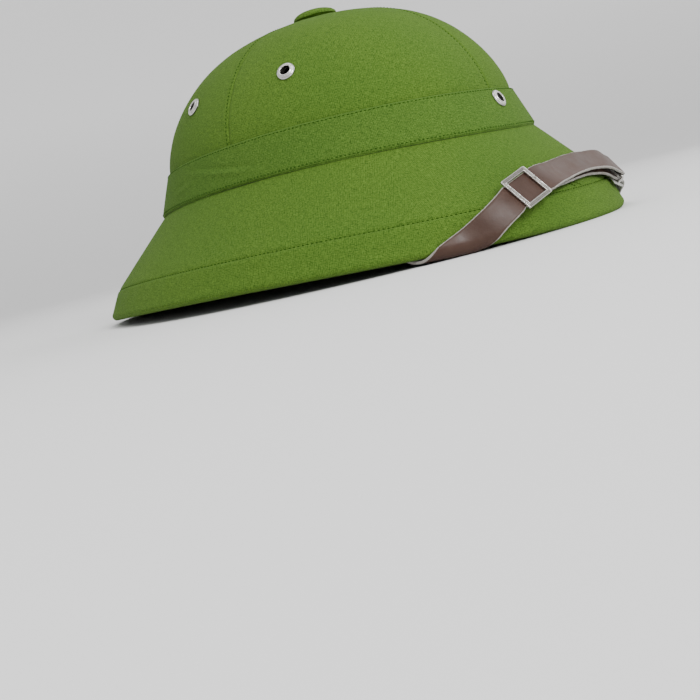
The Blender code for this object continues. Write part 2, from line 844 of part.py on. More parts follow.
def main():
    clear_scene()
    home = make_collection("pith_helmet")
    cutters = make_collection("cutters")

    green = make_material("green_cloth", (0.13, 0.23, 0.04), 0.85)
    band_green = make_material("band_cloth", (0.12, 0.22, 0.05), 0.85)
    dark = make_material("dark_inside", (0.010, 0.011, 0.010), 0.75)
    leather = make_material("brown_leather", (0.10, 0.055, 0.038), 0.45)
    nickel = make_material("nickel", (0.62, 0.61, 0.58), 0.28, 1.0)

    body = shell(dark, home)
    brim_cover(green, home)
    band = hat_band(band_green, home)
    panels = []
    for k, place in enumerate(("front_right", "back_right", "back_left", "front_left")):
        first = 2 * math.pi * k / PANEL_COUNT
        panels.append(crown_panel("crown_panel_" + place, first, green, home))
    top_button(green, home)

    for name, degrees, up in EYELETS:
        angle = math.radians(degrees)
        _, hole = eyelet(name, angle, up, nickel, home, cutters)
        cut(body, hole)
        turn = degrees % 360
        each = 360 / PANEL_COUNT
        for k, panel in enumerate(panels):
            away = abs((turn - (k + 0.5) * each + 180) % 360 - 180)
            if away < each / 2 + 5:
                cut(panel, hole)
        if up < 1:
            cut(band, hole)

    right = strap("strap_right", 1, UPPER_STRAP_RIGHT, UPPER_STRAP_FRONT, UPPER_STRAP_LEFT,
                  BACK_END_LEFT, leather, home)
    left = strap("strap_left", -1, LOWER_STRAP_LEFT, LOWER_STRAP_FRONT, LOWER_STRAP_RIGHT,
                 BACK_END_RIGHT, leather, home)
    slide("slide_right", 1, nickel, home, cutters)
    slide("slide_left", -1, nickel, home, cutters)
    for name, side, leather_end in (("rivet_right", 1, right), ("rivet_left", -1, left)):
        _, hole = rivet(name, side, nickel, home, cutters)
        cut(body, hole)
        cut(leather_end, hole)


main()
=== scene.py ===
# Looks of the pith helmet: cloth panels, band and brim with their seams and stitches, a leather
# chin strap, and nickel slides and eyelets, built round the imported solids. Metres, the front is -Y
# and the wearer's right is -X. An angle starts at the front and grows to the wearer's right.

import math
from bisect import bisect_left, bisect_right
from collections import namedtuple

import bmesh
import bpy
from mathutils import Matrix, Vector, noise


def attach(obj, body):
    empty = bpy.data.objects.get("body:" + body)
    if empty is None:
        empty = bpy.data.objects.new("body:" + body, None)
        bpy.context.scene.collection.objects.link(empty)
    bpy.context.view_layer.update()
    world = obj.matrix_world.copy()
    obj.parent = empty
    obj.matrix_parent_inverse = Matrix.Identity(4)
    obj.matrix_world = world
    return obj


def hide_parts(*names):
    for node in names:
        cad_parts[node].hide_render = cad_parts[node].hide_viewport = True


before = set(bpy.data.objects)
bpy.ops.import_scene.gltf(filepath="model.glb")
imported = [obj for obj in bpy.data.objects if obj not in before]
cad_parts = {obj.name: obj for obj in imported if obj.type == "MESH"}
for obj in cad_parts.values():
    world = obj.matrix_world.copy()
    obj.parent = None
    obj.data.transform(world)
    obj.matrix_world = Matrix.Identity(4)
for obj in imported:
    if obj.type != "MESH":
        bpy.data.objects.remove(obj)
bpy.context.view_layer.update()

# Overall sizes, as in the solids: this group and the next three
BRIM_LENGTH = 0.311
BRIM_WIDTH = 0.266
CROWN_TOP = 0.1364
RIM_LIFT = 0.0068
SHELL_WALL = 0.0025
CLOTH_WALL = 0.0010
GAP = 0.0003
HEM_UNDER = 0.009
HEM_PRESS = 0.0007

# Top button
BUTTON_RADIUS = 0.0122
BUTTON_THICKNESS = 0.0050
BUTTON_CLEARANCE = 0.0023
BUTTON_STEM_RADIUS = 0.0040

# Eyelets
EYELET_RADIUS = 0.0048
EYELET_BORE = 0.0026
EYELET_WALL = 0.0006
EYELET_DOME = 0.0013
EYELET_BACK_RADIUS = 0.0044
EYELET_BACK_LIFT = 0.0012

# Strap, slides and rivets
STRAP_WIDTH = 0.0130
STRAP_THICKNESS = 0.0013
STRAP_END_THICKNESS = 0.0008
SLIDE_BAR = 0.0022
SLIDE_THICKNESS = 0.0011
SLIDE_LENGTH = 0.0178
KEEPER_BAR = 0.0024
KEEPER_THICKNESS = 0.0009
RIVET_RADIUS = 0.0045
RIVET_THICKNESS = 0.0012

# Fineness
ROUND_STEPS = 288
TURN_STEPS = 64
SEAM_COUNT = 4
SMALL_TURN = 0.01

# Threads
STITCH_PITCH = 0.0021
HEM_STITCH_PITCH = 0.0022
FASTENING_PITCH = 0.0015
STITCH_LENGTH = 0.00125
THREAD_RADIUS = 0.00023
WEAVE_PITCH = 0.00080

# Rings that the helmet is lofted through, as in the solids
Ring = namedtuple("Ring", "half_length half_width shift height nose saddle squareness")
JUNCTION = Ring(0.704, 0.719, -0.0207, 0.3915, 0.0088, -0.0191, 2.16)
BAND_TOP = Ring(0.637, 0.677, -0.0251, 0.5504, 0.0059, -0.0125, 2.16)
RIM_SQUARENESS = 2.0
DOME_CLOSING = 0.74
DOME_RISING = 1.33
DOME_TOP_SHIFT = -0.0387

# Section of the brim from the band to the rim
BrimRow = namedtuple("BrimRow", "along out down front")
BRIM_SECTION = (
    BrimRow(0.00, 0.000, 0.000, 0.000),
    BrimRow(0.38, 0.415, 0.360, 0.020),
    BrimRow(0.76, 0.825, 0.725, 0.045),
    BrimRow(1.00, 1.000, 1.000, 0.000),
)
HEM_ALONG = 0.76
HEM_EASING = 0.045

# Angle in degrees and share of the band, or of the dome above 1
EYELETS = (
    ("eyelet_front", 0.0, 0.70),
    ("eyelet_right_front", 68.3, 1.37),
    ("eyelet_right_back", 111.7, 1.37),
    ("eyelet_left_front", -68.3, 1.37),
    ("eyelet_left_back", -111.7, 1.37),
)

# Line of the strap over the brim from rivet to rivet
StrapRow = namedtuple("StrapRow", "angle up")
STRAP_LINE = (
    StrapRow(-78.0, -0.840),
    StrapRow(-66.0, -0.600),
    StrapRow(-53.0, -0.330),
    StrapRow(-41.0, -0.060),
    StrapRow(-28.0, 0.130),
    StrapRow(-15.0, 0.265),
    StrapRow(-2.0, 0.392),
    StrapRow(11.0, 0.375),
    StrapRow(23.7, 0.272),
    StrapRow(31.0, 0.125),
    StrapRow(41.0, -0.065),
    StrapRow(53.0, -0.330),
    StrapRow(66.0, -0.600),
    StrapRow(78.0, -0.840),
)
SIDE_NAME = {1: "right", -1: "left"}
SLIDE_ANGLE = {1: 23.7, -1: -15.0}
SLIDE_NORMAL_SHARE = 0.12
UPPER_STRAP_FRONT = 0.0046
LOWER_STRAP_FRONT = 0.0014
STRAP_LIFT = 0.0006
STRAP_UNDER_LIFT = 0.0007
STRAP_SKIN_LIFT = 0.0007

# Derived sizes
EDGE_RADIUS = CLOTH_WALL + GAP + SHELL_WALL / 2
HALF_ROUND = math.pi * EDGE_RADIUS
SHELL_DEPTH = CLOTH_WALL + GAP
SHELL_INSIDE = SHELL_DEPTH + SHELL_WALL
STEM_HOLE = BUTTON_STEM_RADIUS + GAP
EYELET_BARREL = EYELET_BORE + EYELET_WALL
WINDOW_WIDTH = STRAP_WIDTH + 2 * GAP
SLIDE_WIDTH = WINDOW_WIDTH + 2 * SLIDE_BAR


# Forms of the helmet, as in the solids

def oval(half_length, half_width, shift, squareness, angle):
    c = math.cos(angle)
    s = math.sin(angle)
    grow = (abs(c) ** squareness + abs(s) ** squareness) ** (-1 / squareness)
    return Vector((-half_width * s * grow, shift - half_length * c * grow, 0.0))


def ring_point(ring, angle):
    point = oval(ring.half_length * BRIM_LENGTH / 2, ring.half_width * BRIM_WIDTH / 2,
                 ring.shift * BRIM_LENGTH, ring.squareness, angle)
    rise = ring.height + ring.nose * math.cos(angle) + ring.saddle * math.cos(2 * angle)
    point.z = rise * CROWN_TOP
    return point


def dome_top():
    return Vector((0.0, DOME_TOP_SHIFT * BRIM_LENGTH, CROWN_TOP))


def rim_point(angle):
    point = oval(BRIM_LENGTH / 2, BRIM_WIDTH / 2, 0.0, RIM_SQUARENESS, angle)
    start = ring_point(JUNCTION, angle)
    hem = BRIM_SECTION[-2]
    run = (point - start).to_2d().length * (1 - hem.out)
    fall = start.z * (1 - hem.down)
    lean = run / math.hypot(run, fall)
    point.z = RIM_LIFT * math.sin(angle) ** 2 + EDGE_RADIUS * (1 + lean) - HEM_PRESS
    return point


def brim_share(along, angle):
    # Shares out and down on the brim's section, its bend at the hem eased over a short stretch
    rows = BRIM_SECTION
    bulge = ((1 + math.cos(angle)) / 2) ** 2

    def straight(place):
        k = 0
        while k < len(rows) - 2 and place > rows[k + 1].along:
            k += 1
        part = (place - rows[k].along) / (rows[k + 1].along - rows[k].along)
        out_a = rows[k].out + rows[k].front * bulge
        out_b = rows[k + 1].out + rows[k + 1].front * bulge
        return (out_a + (out_b - out_a) * part,
                rows[k].down + (rows[k + 1].down - rows[k].down) * part)

    if HEM_EASING < along < 1 - HEM_EASING:
        spots = [straight(along + HEM_EASING * step) for step in (-1, -0.5, 0, 0.5, 1)]
        return tuple(sum(values) / len(spots) for values in zip(*spots))
    return straight(along)


def brim_point(angle, along):
    start = ring_point(JUNCTION, angle)
    reach = rim_point(angle) - start
    out, down = brim_share(along, angle)
    return start + Vector((reach.x * out, reach.y * out, reach.z * down))


def crown_point(angle, up):
    # up runs from 0 at the brim to 1 at the top of the band, and on to 2 at the top of the dome
    low = ring_point(JUNCTION, angle)
    high = ring_point(BAND_TOP, angle)
    if up <= 1:
        return low.lerp(high, up)
    quarter = math.pi / 2 * (up - 1)
    closing = max(math.cos(quarter), 0.0) ** DOME_CLOSING
    rising = math.sin(quarter) ** DOME_RISING
    top = dome_top()
    point = top.lerp(high, closing)
    point.z = high.z + (top.z - high.z) * rising
    return point


def surface_normal(form, angle, place, step):
    round_way = form(angle + SMALL_TURN, place) - form(angle - SMALL_TURN, place)
    along_way = form(angle, place + step) - form(angle, place - step)
    normal = round_way.cross(along_way).normalized()
    return -normal if normal.z < 0 else normal


def brim_normal(angle, along):
    return surface_normal(brim_point, angle, along, 0.02)


def crown_normal(angle, up):
    return surface_normal(crown_point, angle, up, 0.004 if up > 1.9 else 0.01)


def brim_layer(angle, along, depth):
    return brim_point(angle, along) - brim_normal(angle, along) * depth


def crown_layer(angle, up, depth):
    step = 0.01 if up < 1.95 else 0.002
    normal = surface_normal(crown_point, angle, up, step)
    return crown_point(angle, up) - normal * depth


def brim_slant(angle):
    return (rim_point(angle) - ring_point(JUNCTION, angle)).length


def edge_frame(angle):
    normal = brim_normal(angle, 0.95)
    edge = brim_point(angle, 1.0)
    down = (edge - brim_point(angle, 0.9)).normalized()
    return edge - normal * EDGE_RADIUS, normal, down


def wrapped_point(angle, up, lift):
    # Over the brim, round its edge and back along the underside, up being the distance from the edge
    slant = brim_slant(angle)
    if up >= 0:
        return brim_layer(angle, 1 - up / slant, -lift)
    if up > -HALF_ROUND:
        centre, normal, down = edge_frame(angle)
        turn = -up / EDGE_RADIUS
        reach = EDGE_RADIUS + lift
        return centre + (normal * math.cos(turn) + down * math.sin(turn)) * reach
    under = -up - HALF_ROUND
    return brim_layer(angle, 1 - under / slant, 2 * EDGE_RADIUS + lift)


# Small helpers

def ease(value):
    value = min(max(value, 0.0), 1.0)
    return value * value * (3 - 2 * value)


def hump(distance, width):
    return math.exp(-(distance / width) ** 2)


def degrees_apart(a, b):
    return (a - b + 180) % 360 - 180


def unevenness(point, waves):
    # Soft waves, each with its height, size and seed
    return sum(height * noise.noise(point / size + Vector((seed, 2 * seed, 3 * seed)))
               for height, size, seed in waves)


def distances(points):
    # How far each of the points lies along their line
    far = [0.0]
    for a, b in zip(points, points[1:]):
        far.append(far[-1] + (b - a).length)
    return far


def full_round(steps=ROUND_STEPS):
    return [2 * math.pi * k / steps for k in range(steps)]


def placed(name, data):
    made = bpy.data.objects.new(name, data)
    bpy.context.scene.collection.objects.link(made)
    return made


def add_piece(name, mesh, materials, node):
    # A piece of the object: it stands for a solid and takes its finish from a slot
    made = placed(name, mesh)
    for material in materials:
        mesh.materials.append(material)
    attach(made, "root")
    if node:
        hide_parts(node)
    return made


def mesh_from(build, name):
    bmesh.ops.recalc_face_normals(build, faces=build.faces)
    mesh = bpy.data.meshes.new(name)
    build.to_mesh(mesh)
    build.free()
    return mesh


def bridge(build, low, high):
    # A ring of quads between two closed loops of vertices
    quads = zip(low, low[1:] + low[:1], high[1:] + high[:1], high)
    return [build.faces.new(corners) for corners in quads]


def smooth(mesh, degrees=40.0):
    mesh.shade_smooth()
    mesh.set_sharp_from_angle(angle=math.radians(degrees))


def woven_grid(name, outer, inner, closed, places):
    # A sheet of quads with an outer and an inner face, closed round its edges. Its UV map holds
    # the cloth's own two directions in metres, places giving them for a row and a column.
    build = bmesh.new()
    cloth = build.loops.layers.uv.new("cloth")
    out = [[build.verts.new(point) for point in row] for row in outer]
    back = [[build.verts.new(point) for point in row] for row in inner]
    count = len(outer[0])
    last = len(outer) - 1
    spans = count if closed else count - 1

    def add_face(corners, spots, span):
        face = build.faces.new(corners)
        for loop, (row, column) in zip(face.loops, spots):
            loop[cloth].uv = places(row, column, span)

    for r in range(last):
        for k in range(spans):
            n = (k + 1) % count
            spots = ((r, k), (r, k + 1), (r + 1, k + 1), (r + 1, k))
            add_face((out[r][k], out[r][n], out[r + 1][n], out[r + 1][k]), spots, k)
            add_face((back[r + 1][k], back[r + 1][n], back[r][n], back[r][k]), spots[::-1], k)
    for k in range(spans):
        n = (k + 1) % count
        add_face((back[0][k], back[0][n], out[0][n], out[0][k]),
                 ((0, k), (0, k + 1), (0, k + 1), (0, k)), k)
        add_face((out[last][k], out[last][n], back[last][n], back[last][k]),
                 ((last, k), (last, k + 1), (last, k + 1), (last, k)), k)
    if not closed:
        for r in range(last):
            for k in (0, count - 1):
                add_face((out[r][k], out[r + 1][k], back[r + 1][k], back[r][k]),
                         ((r, k), (r + 1, k), (r + 1, k), (r, k)), min(k, spans - 1))
    return mesh_from(build, name)


def facing(point, normal, along=None):
    z = normal.normalized()
    guide = along if along else Vector((0.0, 0.0, 1.0))
    y = z.cross(guide).normalized()
    x = y.cross(z)
    made = Matrix((x, y, z)).transposed().to_4x4()
    made.translation = point
    return made


def drill(pieces, matrix, radius, reach):
    # A round hole through the pieces, cut at once
    build = bmesh.new()
    bmesh.ops.create_cone(build, cap_ends=True, segments=40, radius1=radius, radius2=radius,
                          depth=2 * reach)
    mesh = mesh_from(build, "drill")
    tool = placed("drill", mesh)
    tool.matrix_world = matrix
    for piece in pieces:
        hole = piece.modifiers.new("hole", "BOOLEAN")
        hole.operation = "DIFFERENCE"
        hole.object = tool
        settle(piece)
    bpy.data.objects.remove(tool, do_unlink=True)
    bpy.data.meshes.remove(mesh)


def settle(piece):
    # Applies a piece's modifiers to its mesh
    seen = piece.evaluated_get(bpy.context.evaluated_depsgraph_get())
    mesh = bpy.data.meshes.new_from_object(seen)
    piece.modifiers.clear()
    old = piece.data
    piece.data = mesh
    bpy.data.meshes.remove(old)


def turned(name, profile, matrix, closed, materials, node, steps=TURN_STEPS):
    # A profile of radius and height, turned about the matrix's Z axis
    build = bmesh.new()
    cloth = build.loops.layers.uv.new("cloth")
    rings = []
    for radius, height in profile:
        if radius < 1e-9:
            rings.append([build.verts.new(matrix @ Vector((0.0, 0.0, height)))] * steps)
        else:
            ring = []
            for k in range(steps):
                turn = 2 * math.pi * k / steps
                spot = Vector((radius * math.cos(turn), radius * math.sin(turn), height))
                ring.append(build.verts.new(matrix @ spot))
            rings.append(ring)
    pairs = list(zip(rings, rings[1:]))
    if closed:
        pairs.append((rings[-1], rings[0]))
    for low, high in pairs:
        for k in range(steps):
            n = (k + 1) % steps
            corners = []
            for vert in (low[k], low[n], high[n], high[k]):
                if vert not in corners:
                    corners.append(vert)
            face = build.faces.new(corners)
            for loop in face.loops:
                local = matrix.inverted() @ loop.vert.co
                loop[cloth].uv = (local.x, local.y)
    mesh = mesh_from(build, name)
    smooth(mesh)
    return add_piece(name, mesh, materials, node)


# Materials

def new_material(name):
    material = bpy.data.materials.new(name)
    material.use_nodes = True
    tree = material.node_tree
    return material, tree, tree.nodes["Principled BSDF"]


def plug(tree, socket, value):
    if isinstance(value, bpy.types.NodeSocket):
        tree.links.new(value, socket)
    else:
        socket.default_value = value


def dress(tree, shader, inputs):
    for name, value in inputs.items():
        plug(tree, shader.inputs[name], value)


def math_node(tree, operation, a, b=0.0, clamp=False):
    made = tree.nodes.new("ShaderNodeMath")
    made.operation = operation
    made.use_clamp = clamp
    plug(tree, made.inputs[0], a)
    plug(tree, made.inputs[1], b)
    return made.outputs[0]


def added(tree, a, b, clamp=False):
    return math_node(tree, "ADD", a, b, clamp)


def times(tree, a, b):
    return math_node(tree, "MULTIPLY", a, b)


def mix_color(tree, factor, a, b):
    made = tree.nodes.new("ShaderNodeMix")
    made.data_type = "RGBA"
    plug(tree, made.inputs[0], factor)
    plug(tree, made.inputs[6], a)
    plug(tree, made.inputs[7], b)
    return made.outputs[2]


def scaled(tree, vector, scale):
    made = tree.nodes.new("ShaderNodeMapping")
    plug(tree, made.inputs["Vector"], vector)
    made.inputs["Scale"].default_value = scale
    return made.outputs[0]


def noise_value(tree, vector, scale, detail=2.0, roughness=0.5):
    made = tree.nodes.new("ShaderNodeTexNoise")
    plug(tree, made.inputs["Vector"], vector)
    made.inputs["Scale"].default_value = scale
    made.inputs["Detail"].default_value = detail
    made.inputs["Roughness"].default_value = roughness
    return made.outputs[0]


def spread_value(tree, value, low, high):
    # Stretches the middle of a noise to the range from 0 to 1
    made = tree.nodes.new("ShaderNodeMapRange")
    plug(tree, made.inputs["Value"], value)
    made.inputs["From Min"].default_value = low
    made.inputs["From Max"].default_value = high
    return made.outputs[0]


def bump_node(tree, height, strength, distance, normal=None):
    made = tree.nodes.new("ShaderNodeBump")
    made.inputs["Strength"].default_value = strength
    made.inputs["Distance"].default_value = distance
    plug(tree, made.inputs["Height"], height)
    if normal:
        tree.links.new(normal, made.inputs["Normal"])
    return made.outputs[0]


def object_place(tree):
    return tree.nodes.new("ShaderNodeTexCoord").outputs["Object"]


def cloth_place(tree):
    made = tree.nodes.new("ShaderNodeUVMap")
    made.uv_map = "cloth"
    return made.outputs[0]


def woven_cloth(name, shade, lit, dark):
    # Plain weave: warp and weft threads that take turns on top, with slubs and uneven dye, and
    # painted shade in the gaps between the threads
    material, tree, shader = new_material(name)
    place = cloth_place(tree)
    split = tree.nodes.new("ShaderNodeSeparateXYZ")
    tree.links.new(place, split.inputs[0])
    waver = noise_value(tree, place, 140.0, 2.0)
    sines = []
    for axis in (0, 1):
        count = math_node(tree, "DIVIDE", split.outputs[axis], WEAVE_PITCH)
        count = added(tree, count, waver)
        sines.append(math_node(tree, "SINE", times(tree, count, math.pi)))
    turns = times(tree, sines[0], sines[1])
    warp_on_top = added(tree, times(tree, turns, 2.0), 0.5, True)
    over = times(tree, math_node(tree, "ABSOLUTE", sines[0]), warp_on_top)
    under_share = math_node(tree, "SUBTRACT", 1.0, warp_on_top)
    under = times(tree, math_node(tree, "ABSOLUTE", sines[1]), under_share)
    thread = added(tree, over, under)
    warp_slubs = noise_value(tree, scaled(tree, place, (2300.0, 300.0, 1.0)), 1.0, 2.0, 0.6)
    weft_slubs = noise_value(tree, scaled(tree, place, (300.0, 2300.0, 1.0)), 1.0, 2.0, 0.6)
    flecks = spread_value(tree, noise_value(tree, place, 1250.0, 3.0, 0.75), 0.36, 0.64)
    slubs = spread_value(tree, added(tree, warp_slubs, weft_slubs), 0.72, 1.28)
    tone = added(tree, times(tree, flecks, 0.50), times(tree, slubs, 0.50))
    patches = spread_value(tree, noise_value(tree, object_place(tree), 14.0, 3.0), 0.3, 0.7)
    dyed = mix_color(tree, patches, shade, lit)
    # Darker where flecks and slubs run thin, which is the cloth's own tone, and in the gaps between
    # the threads, which is painted shade
    depth = math_node(tree, "SUBTRACT", 1.35, added(tree, tone, times(tree, thread, 0.40)), True)
    height = added(tree, times(tree, thread, 0.6), times(tree, tone, 0.8))
    dress(tree, shader, {
        "Base Color": mix_color(tree, depth, dyed, dark),
        "Normal": bump_node(tree, height, 0.6, 0.00026),
        "Roughness": 0.92, "Specular IOR Level": 0.10,
        "Sheen Weight": 0.02, "Sheen Roughness": 0.5, "Sheen Tint": (0.62, 0.85, 0.35, 1.0)})
    return material


def thread_material(name, color):
    material, tree, shader = new_material(name)
    place = object_place(tree)
    ply = noise_value(tree, place, 4200.0, 1.0)
    tone = mix_color(tree, ply, color, tuple(part * 1.5 for part in color[:3]) + (1.0,))
    dress(tree, shader, {"Base Color": tone, "Normal": bump_node(tree, ply, 0.5, 0.0001),
                         "Roughness": 0.95, "Specular IOR Level": 0.08})
    return material


def leather_material():
    material, tree, shader = new_material("strap_leather")
    place = object_place(tree)
    pores = tree.nodes.new("ShaderNodeTexVoronoi")
    pores.inputs["Scale"].default_value = 1500.0
    tree.links.new(place, pores.inputs["Vector"])
    wear = spread_value(tree, noise_value(tree, place, 120.0, 3.0, 0.6), 0.35, 0.68)
    cloudy = noise_value(tree, place, 28.0, 2.0)
    brown = mix_color(tree, cloudy, (0.034, 0.016, 0.010, 1.0), (0.056, 0.027, 0.018, 1.0))
    tone = mix_color(tree, times(tree, wear, 0.30), brown,
                     (0.090, 0.054, 0.041, 1.0))
    height = added(tree, times(tree, pores.outputs["Distance"], 0.5),
                   times(tree, noise_value(tree, place, 700.0, 3.0), 0.7))
    dress(tree, shader, {"Base Color": tone, "Normal": bump_node(tree, height, 0.22, 0.00018),
                         "Roughness": added(tree, times(tree, wear, 0.16), 0.34),
                         "Specular IOR Level": 0.22})
    return material


def suede_material():
    material, tree, shader = new_material("strap_suede")
    place = object_place(tree)
    fibres = noise_value(tree, place, 2600.0, 3.0, 0.7)
    clumps = noise_value(tree, place, 420.0, 2.0)
    tone = mix_color(tree, spread_value(tree, fibres, 0.35, 0.65), (0.15, 0.135, 0.12, 1.0),
                     (0.40, 0.385, 0.35, 1.0))
    tone = mix_color(tree, times(tree, clumps, 0.45), tone,
                     (0.13, 0.10, 0.085, 1.0))
    dress(tree, shader, {"Base Color": tone, "Normal": bump_node(tree, fibres, 0.8, 0.0003),
                         "Roughness": 0.95, "Sheen Weight": 0.3})
    return material


def nickel_material(name, bright, dulled, gloss):
    material, tree, shader = new_material(name)
    place = object_place(tree)
    tarnish = spread_value(tree, noise_value(tree, place, 330.0, 4.0, 0.65), 0.42, 0.72)
    scratches = noise_value(tree, scaled(tree, place, (900.0, 5200.0, 2500.0)), 1.0, 2.0)
    tone = mix_color(tree, times(tree, tarnish, 0.8), bright, dulled)
    rough = added(tree, times(tree, tarnish, 0.22), gloss)
    pits = bump_node(tree, noise_value(tree, place, 1900.0, 3.0), 0.12, 0.0002)
    dress(tree, shader, {"Base Color": tone, "Roughness": rough, "Metallic": 1.0,
                         "Normal": bump_node(tree, scratches, 0.10, 0.00008, pits)})
    return material


def inside_material():
    # The moulded wall: a dark felted surface
    material, tree, shader = new_material("dark_inside")
    place = object_place(tree)
    fibres = noise_value(tree, scaled(tree, place, (1.0, 1.0, 1.7)), 900.0, 4.0, 0.65)
    lumps = noise_value(tree, place, 60.0, 3.0)
    tone = mix_color(tree, fibres, (0.006, 0.006, 0.006, 1.0), (0.024, 0.025, 0.023, 1.0))
    height = added(tree, fibres, times(tree, lumps, 0.8))
    dress(tree, shader, {"Base Color": tone, "Normal": bump_node(tree, height, 0.5, 0.0005),
                         "Roughness": 0.82})
    return material


# Stitches

# Rings of one stitch: share along it, height and thickness in thread radii
STITCH_SHAPE = ((-0.5, -0.9, 0.55), (-0.36, 0.25, 0.95), (0.0, 0.75, 1.0), (0.36, 0.25, 0.95),
                (0.5, -0.9, 0.55))


def stitch_row(name, spots, material, pitch=STITCH_PITCH):
    # Short threads that dip at their ends, along a fine list of points and normals
    lengths = distances([point for point, _ in spots])
    count = int(lengths[-1] / pitch)
    build = bmesh.new()

    def spot_at(distance):
        distance = min(max(distance, 0.0), lengths[-1])
        k = min(bisect_left(lengths, distance, 1) - 1, len(lengths) - 2)
        part = (distance - lengths[k]) / max(lengths[k + 1] - lengths[k], 1e-9)
        return (spots[k][0].lerp(spots[k + 1][0], part),
                spots[k][1].lerp(spots[k + 1][1], part).normalized())

    for stitch in range(count):
        middle = (stitch + 0.5) * pitch
        waver = 0.00012 * noise.noise(Vector((stitch * 7.7, len(spots) * 0.13, 0.0)))
        loops = []
        for share, lift, thick in STITCH_SHAPE:
            point, normal = spot_at(middle + share * STITCH_LENGTH)
            ahead, _ = spot_at(middle + share * STITCH_LENGTH + 0.0004)
            behind, _ = spot_at(middle + share * STITCH_LENGTH - 0.0004)
            along = (ahead - behind).normalized()
            side = along.cross(normal).normalized()
            centre = point + normal * (lift * THREAD_RADIUS) + side * (waver + share * 0.0001)
            ways = [normal * math.cos(turn) + side * math.sin(turn) for turn in full_round(6)]
            loops.append([build.verts.new(centre + way * THREAD_RADIUS * thick) for way in ways])
        for low, high in zip(loops, loops[1:]):
            bridge(build, low, high)
        build.faces.new(loops[0][::-1])
        build.faces.new(loops[-1])
    mesh = mesh_from(build, name)
    mesh.shade_smooth()
    add_piece(name, mesh, [material], None)


# Cloth of the crown

# Columns of a panel, as shares of its width: close together beside its two seams
SEAM_COLUMNS = (0.0, 0.0025, 0.005, 0.008, 0.0115, 0.016, 0.022, 0.030, 0.042, 0.060, 0.085)
MIDDLE_COLUMNS = 34
PANEL_ROWS = 64
SEAM_ALLOWANCE = 0.0040
ALLOWANCE_LIFT = 0.00010
SEAM_STITCH_ASIDE = 0.0017
SEAM_STITCH_GROOVE = 0.00016
SEAM_GROOVE = 0.00045
SEAM_GROOVE_WIDTH = 0.0007
SEAM_GAP = 0.00005
CLOTH_THICKNESS = 0.0009
CROWN_WAVES = ((0.00018, 0.030, 4.0), (0.00008, 0.009, 9.0))


def panel_columns():
    first = list(SEAM_COLUMNS)
    start = first[-1]
    inner = [start + (1 - 2 * start) * k / MIDDLE_COLUMNS for k in range(1, MIDDLE_COLUMNS)]
    return first + inner + [1 - share for share in reversed(first)]


def crown_cloth_lift(angle, up, seam_distance, behind_seam):
    # How far the cloth lies off the even form: soft unevenness, and its dip at a seam
    point = crown_point(angle, up)
    lift = unevenness(point, CROWN_WAVES) - SEAM_GROOVE * hump(seam_distance, SEAM_GROOVE_WIDTH)
    if behind_seam:
        lift += ALLOWANCE_LIFT * (1 - ease((seam_distance - SEAM_ALLOWANCE) / 0.0025))
        lift -= SEAM_STITCH_GROOVE * hump(seam_distance - SEAM_STITCH_ASIDE, 0.0005)
    return lift


def crown_panel(name, first, material):
    # One gore of the crown, from the button's stem to below the band
    width = 2 * math.pi / SEAM_COUNT
    columns = panel_columns()
    ups = [2 - 0.985 * (k / PANEL_ROWS) ** 0.9 for k in range(1, PANEL_ROWS + 1)]
    ups = [1.992] + [up for up in ups if up > 1.02] + [1.0, 0.97, 0.9, 0.6, 0.3, 0.02]
    outer = []
    inner = []
    across = []
    down = distances([crown_point(first + width / 2, up) for up in ups])
    for up in ups:
        row = [crown_point(first + share * width, up) for share in columns]
        wide = sum((b - a).length for a, b in zip(row, row[1:]))
        out_row = []
        in_row = []
        for share, point in zip(columns, row):
            angle = first + share * width
            distance = min(share, 1 - share) * wide
            normal = crown_normal(angle, up)
            aside = Vector((-math.cos(angle), math.sin(angle), 0.0))
            if distance < 1e-6:
                point = point + aside * (SEAM_GAP if share < 0.5 else -SEAM_GAP)
            out_row.append(point + normal * crown_cloth_lift(angle, up, distance, share < 0.5))
            in_row.append(point - normal * CLOTH_THICKNESS)
        outer.append(out_row)
        inner.append(in_row)
        across.append([(share - 0.5) * wide for share in columns])
    mesh = woven_grid(name, outer, inner, False, lambda r, c, span: (across[r][c], -down[r]))
    smooth(mesh)
    return add_piece(name, mesh, [material], name.replace("cloth_", "crown_panel_"))


def seam_stitches(name, seam, material):
    # The row of stitches beside a seam, on the side behind it
    spots = []
    for k in range(400):
        up = 1.96 - (1.96 - 1.0) * k / 399
        here = crown_point(seam, up)
        pace = (crown_point(seam + 0.01, up) - here).length / 0.01
        angle = seam + SEAM_STITCH_ASIDE / pace
        normal = crown_normal(angle, up)
        lift = crown_cloth_lift(angle, up, SEAM_STITCH_ASIDE, True)
        spots.append((crown_point(angle, up) + normal * (lift - 0.00002), normal))
    stitch_row(name, spots, material)


# Hat band

BAND_LIFT = GAP + CLOTH_WALL
BAND_EDGE_FALL = 0.74 * BAND_LIFT
BAND_EDGE_ROUND = 0.0013
BAND_EDGE_STITCH = 0.0014
BAND_STITCH_GROOVE = 0.00020
BAND_BACK_LIFT = 0.00012
BAND_JOIN = 183.0
BAND_JOIN_LIFT = 0.00055
BAND_WAVES = ((0.00014, 0.016, 6.0),)

# Long shallow creases in the band: angle, share up, length in degrees, slope, depth
BAND_CREASES = (
    (92.0, 0.40, 13.0, 0.010, 0.000544),
    (101.0, 0.56, 9.0, 0.014, 0.000416),
    (85.0, 0.28, 10.0, 0.008, 0.000384),
    (112.0, 0.36, 8.0, -0.010, 0.00032),
    (-96.0, 0.45, 11.0, -0.010, 0.000384),
    (160.0, 0.50, 9.0, 0.012, 0.000352),
    (-150.0, 0.38, 8.0, -0.012, 0.000352),
)


def band_height(angle):
    return (crown_point(angle, 1.0) - crown_point(angle, 0.0)).length


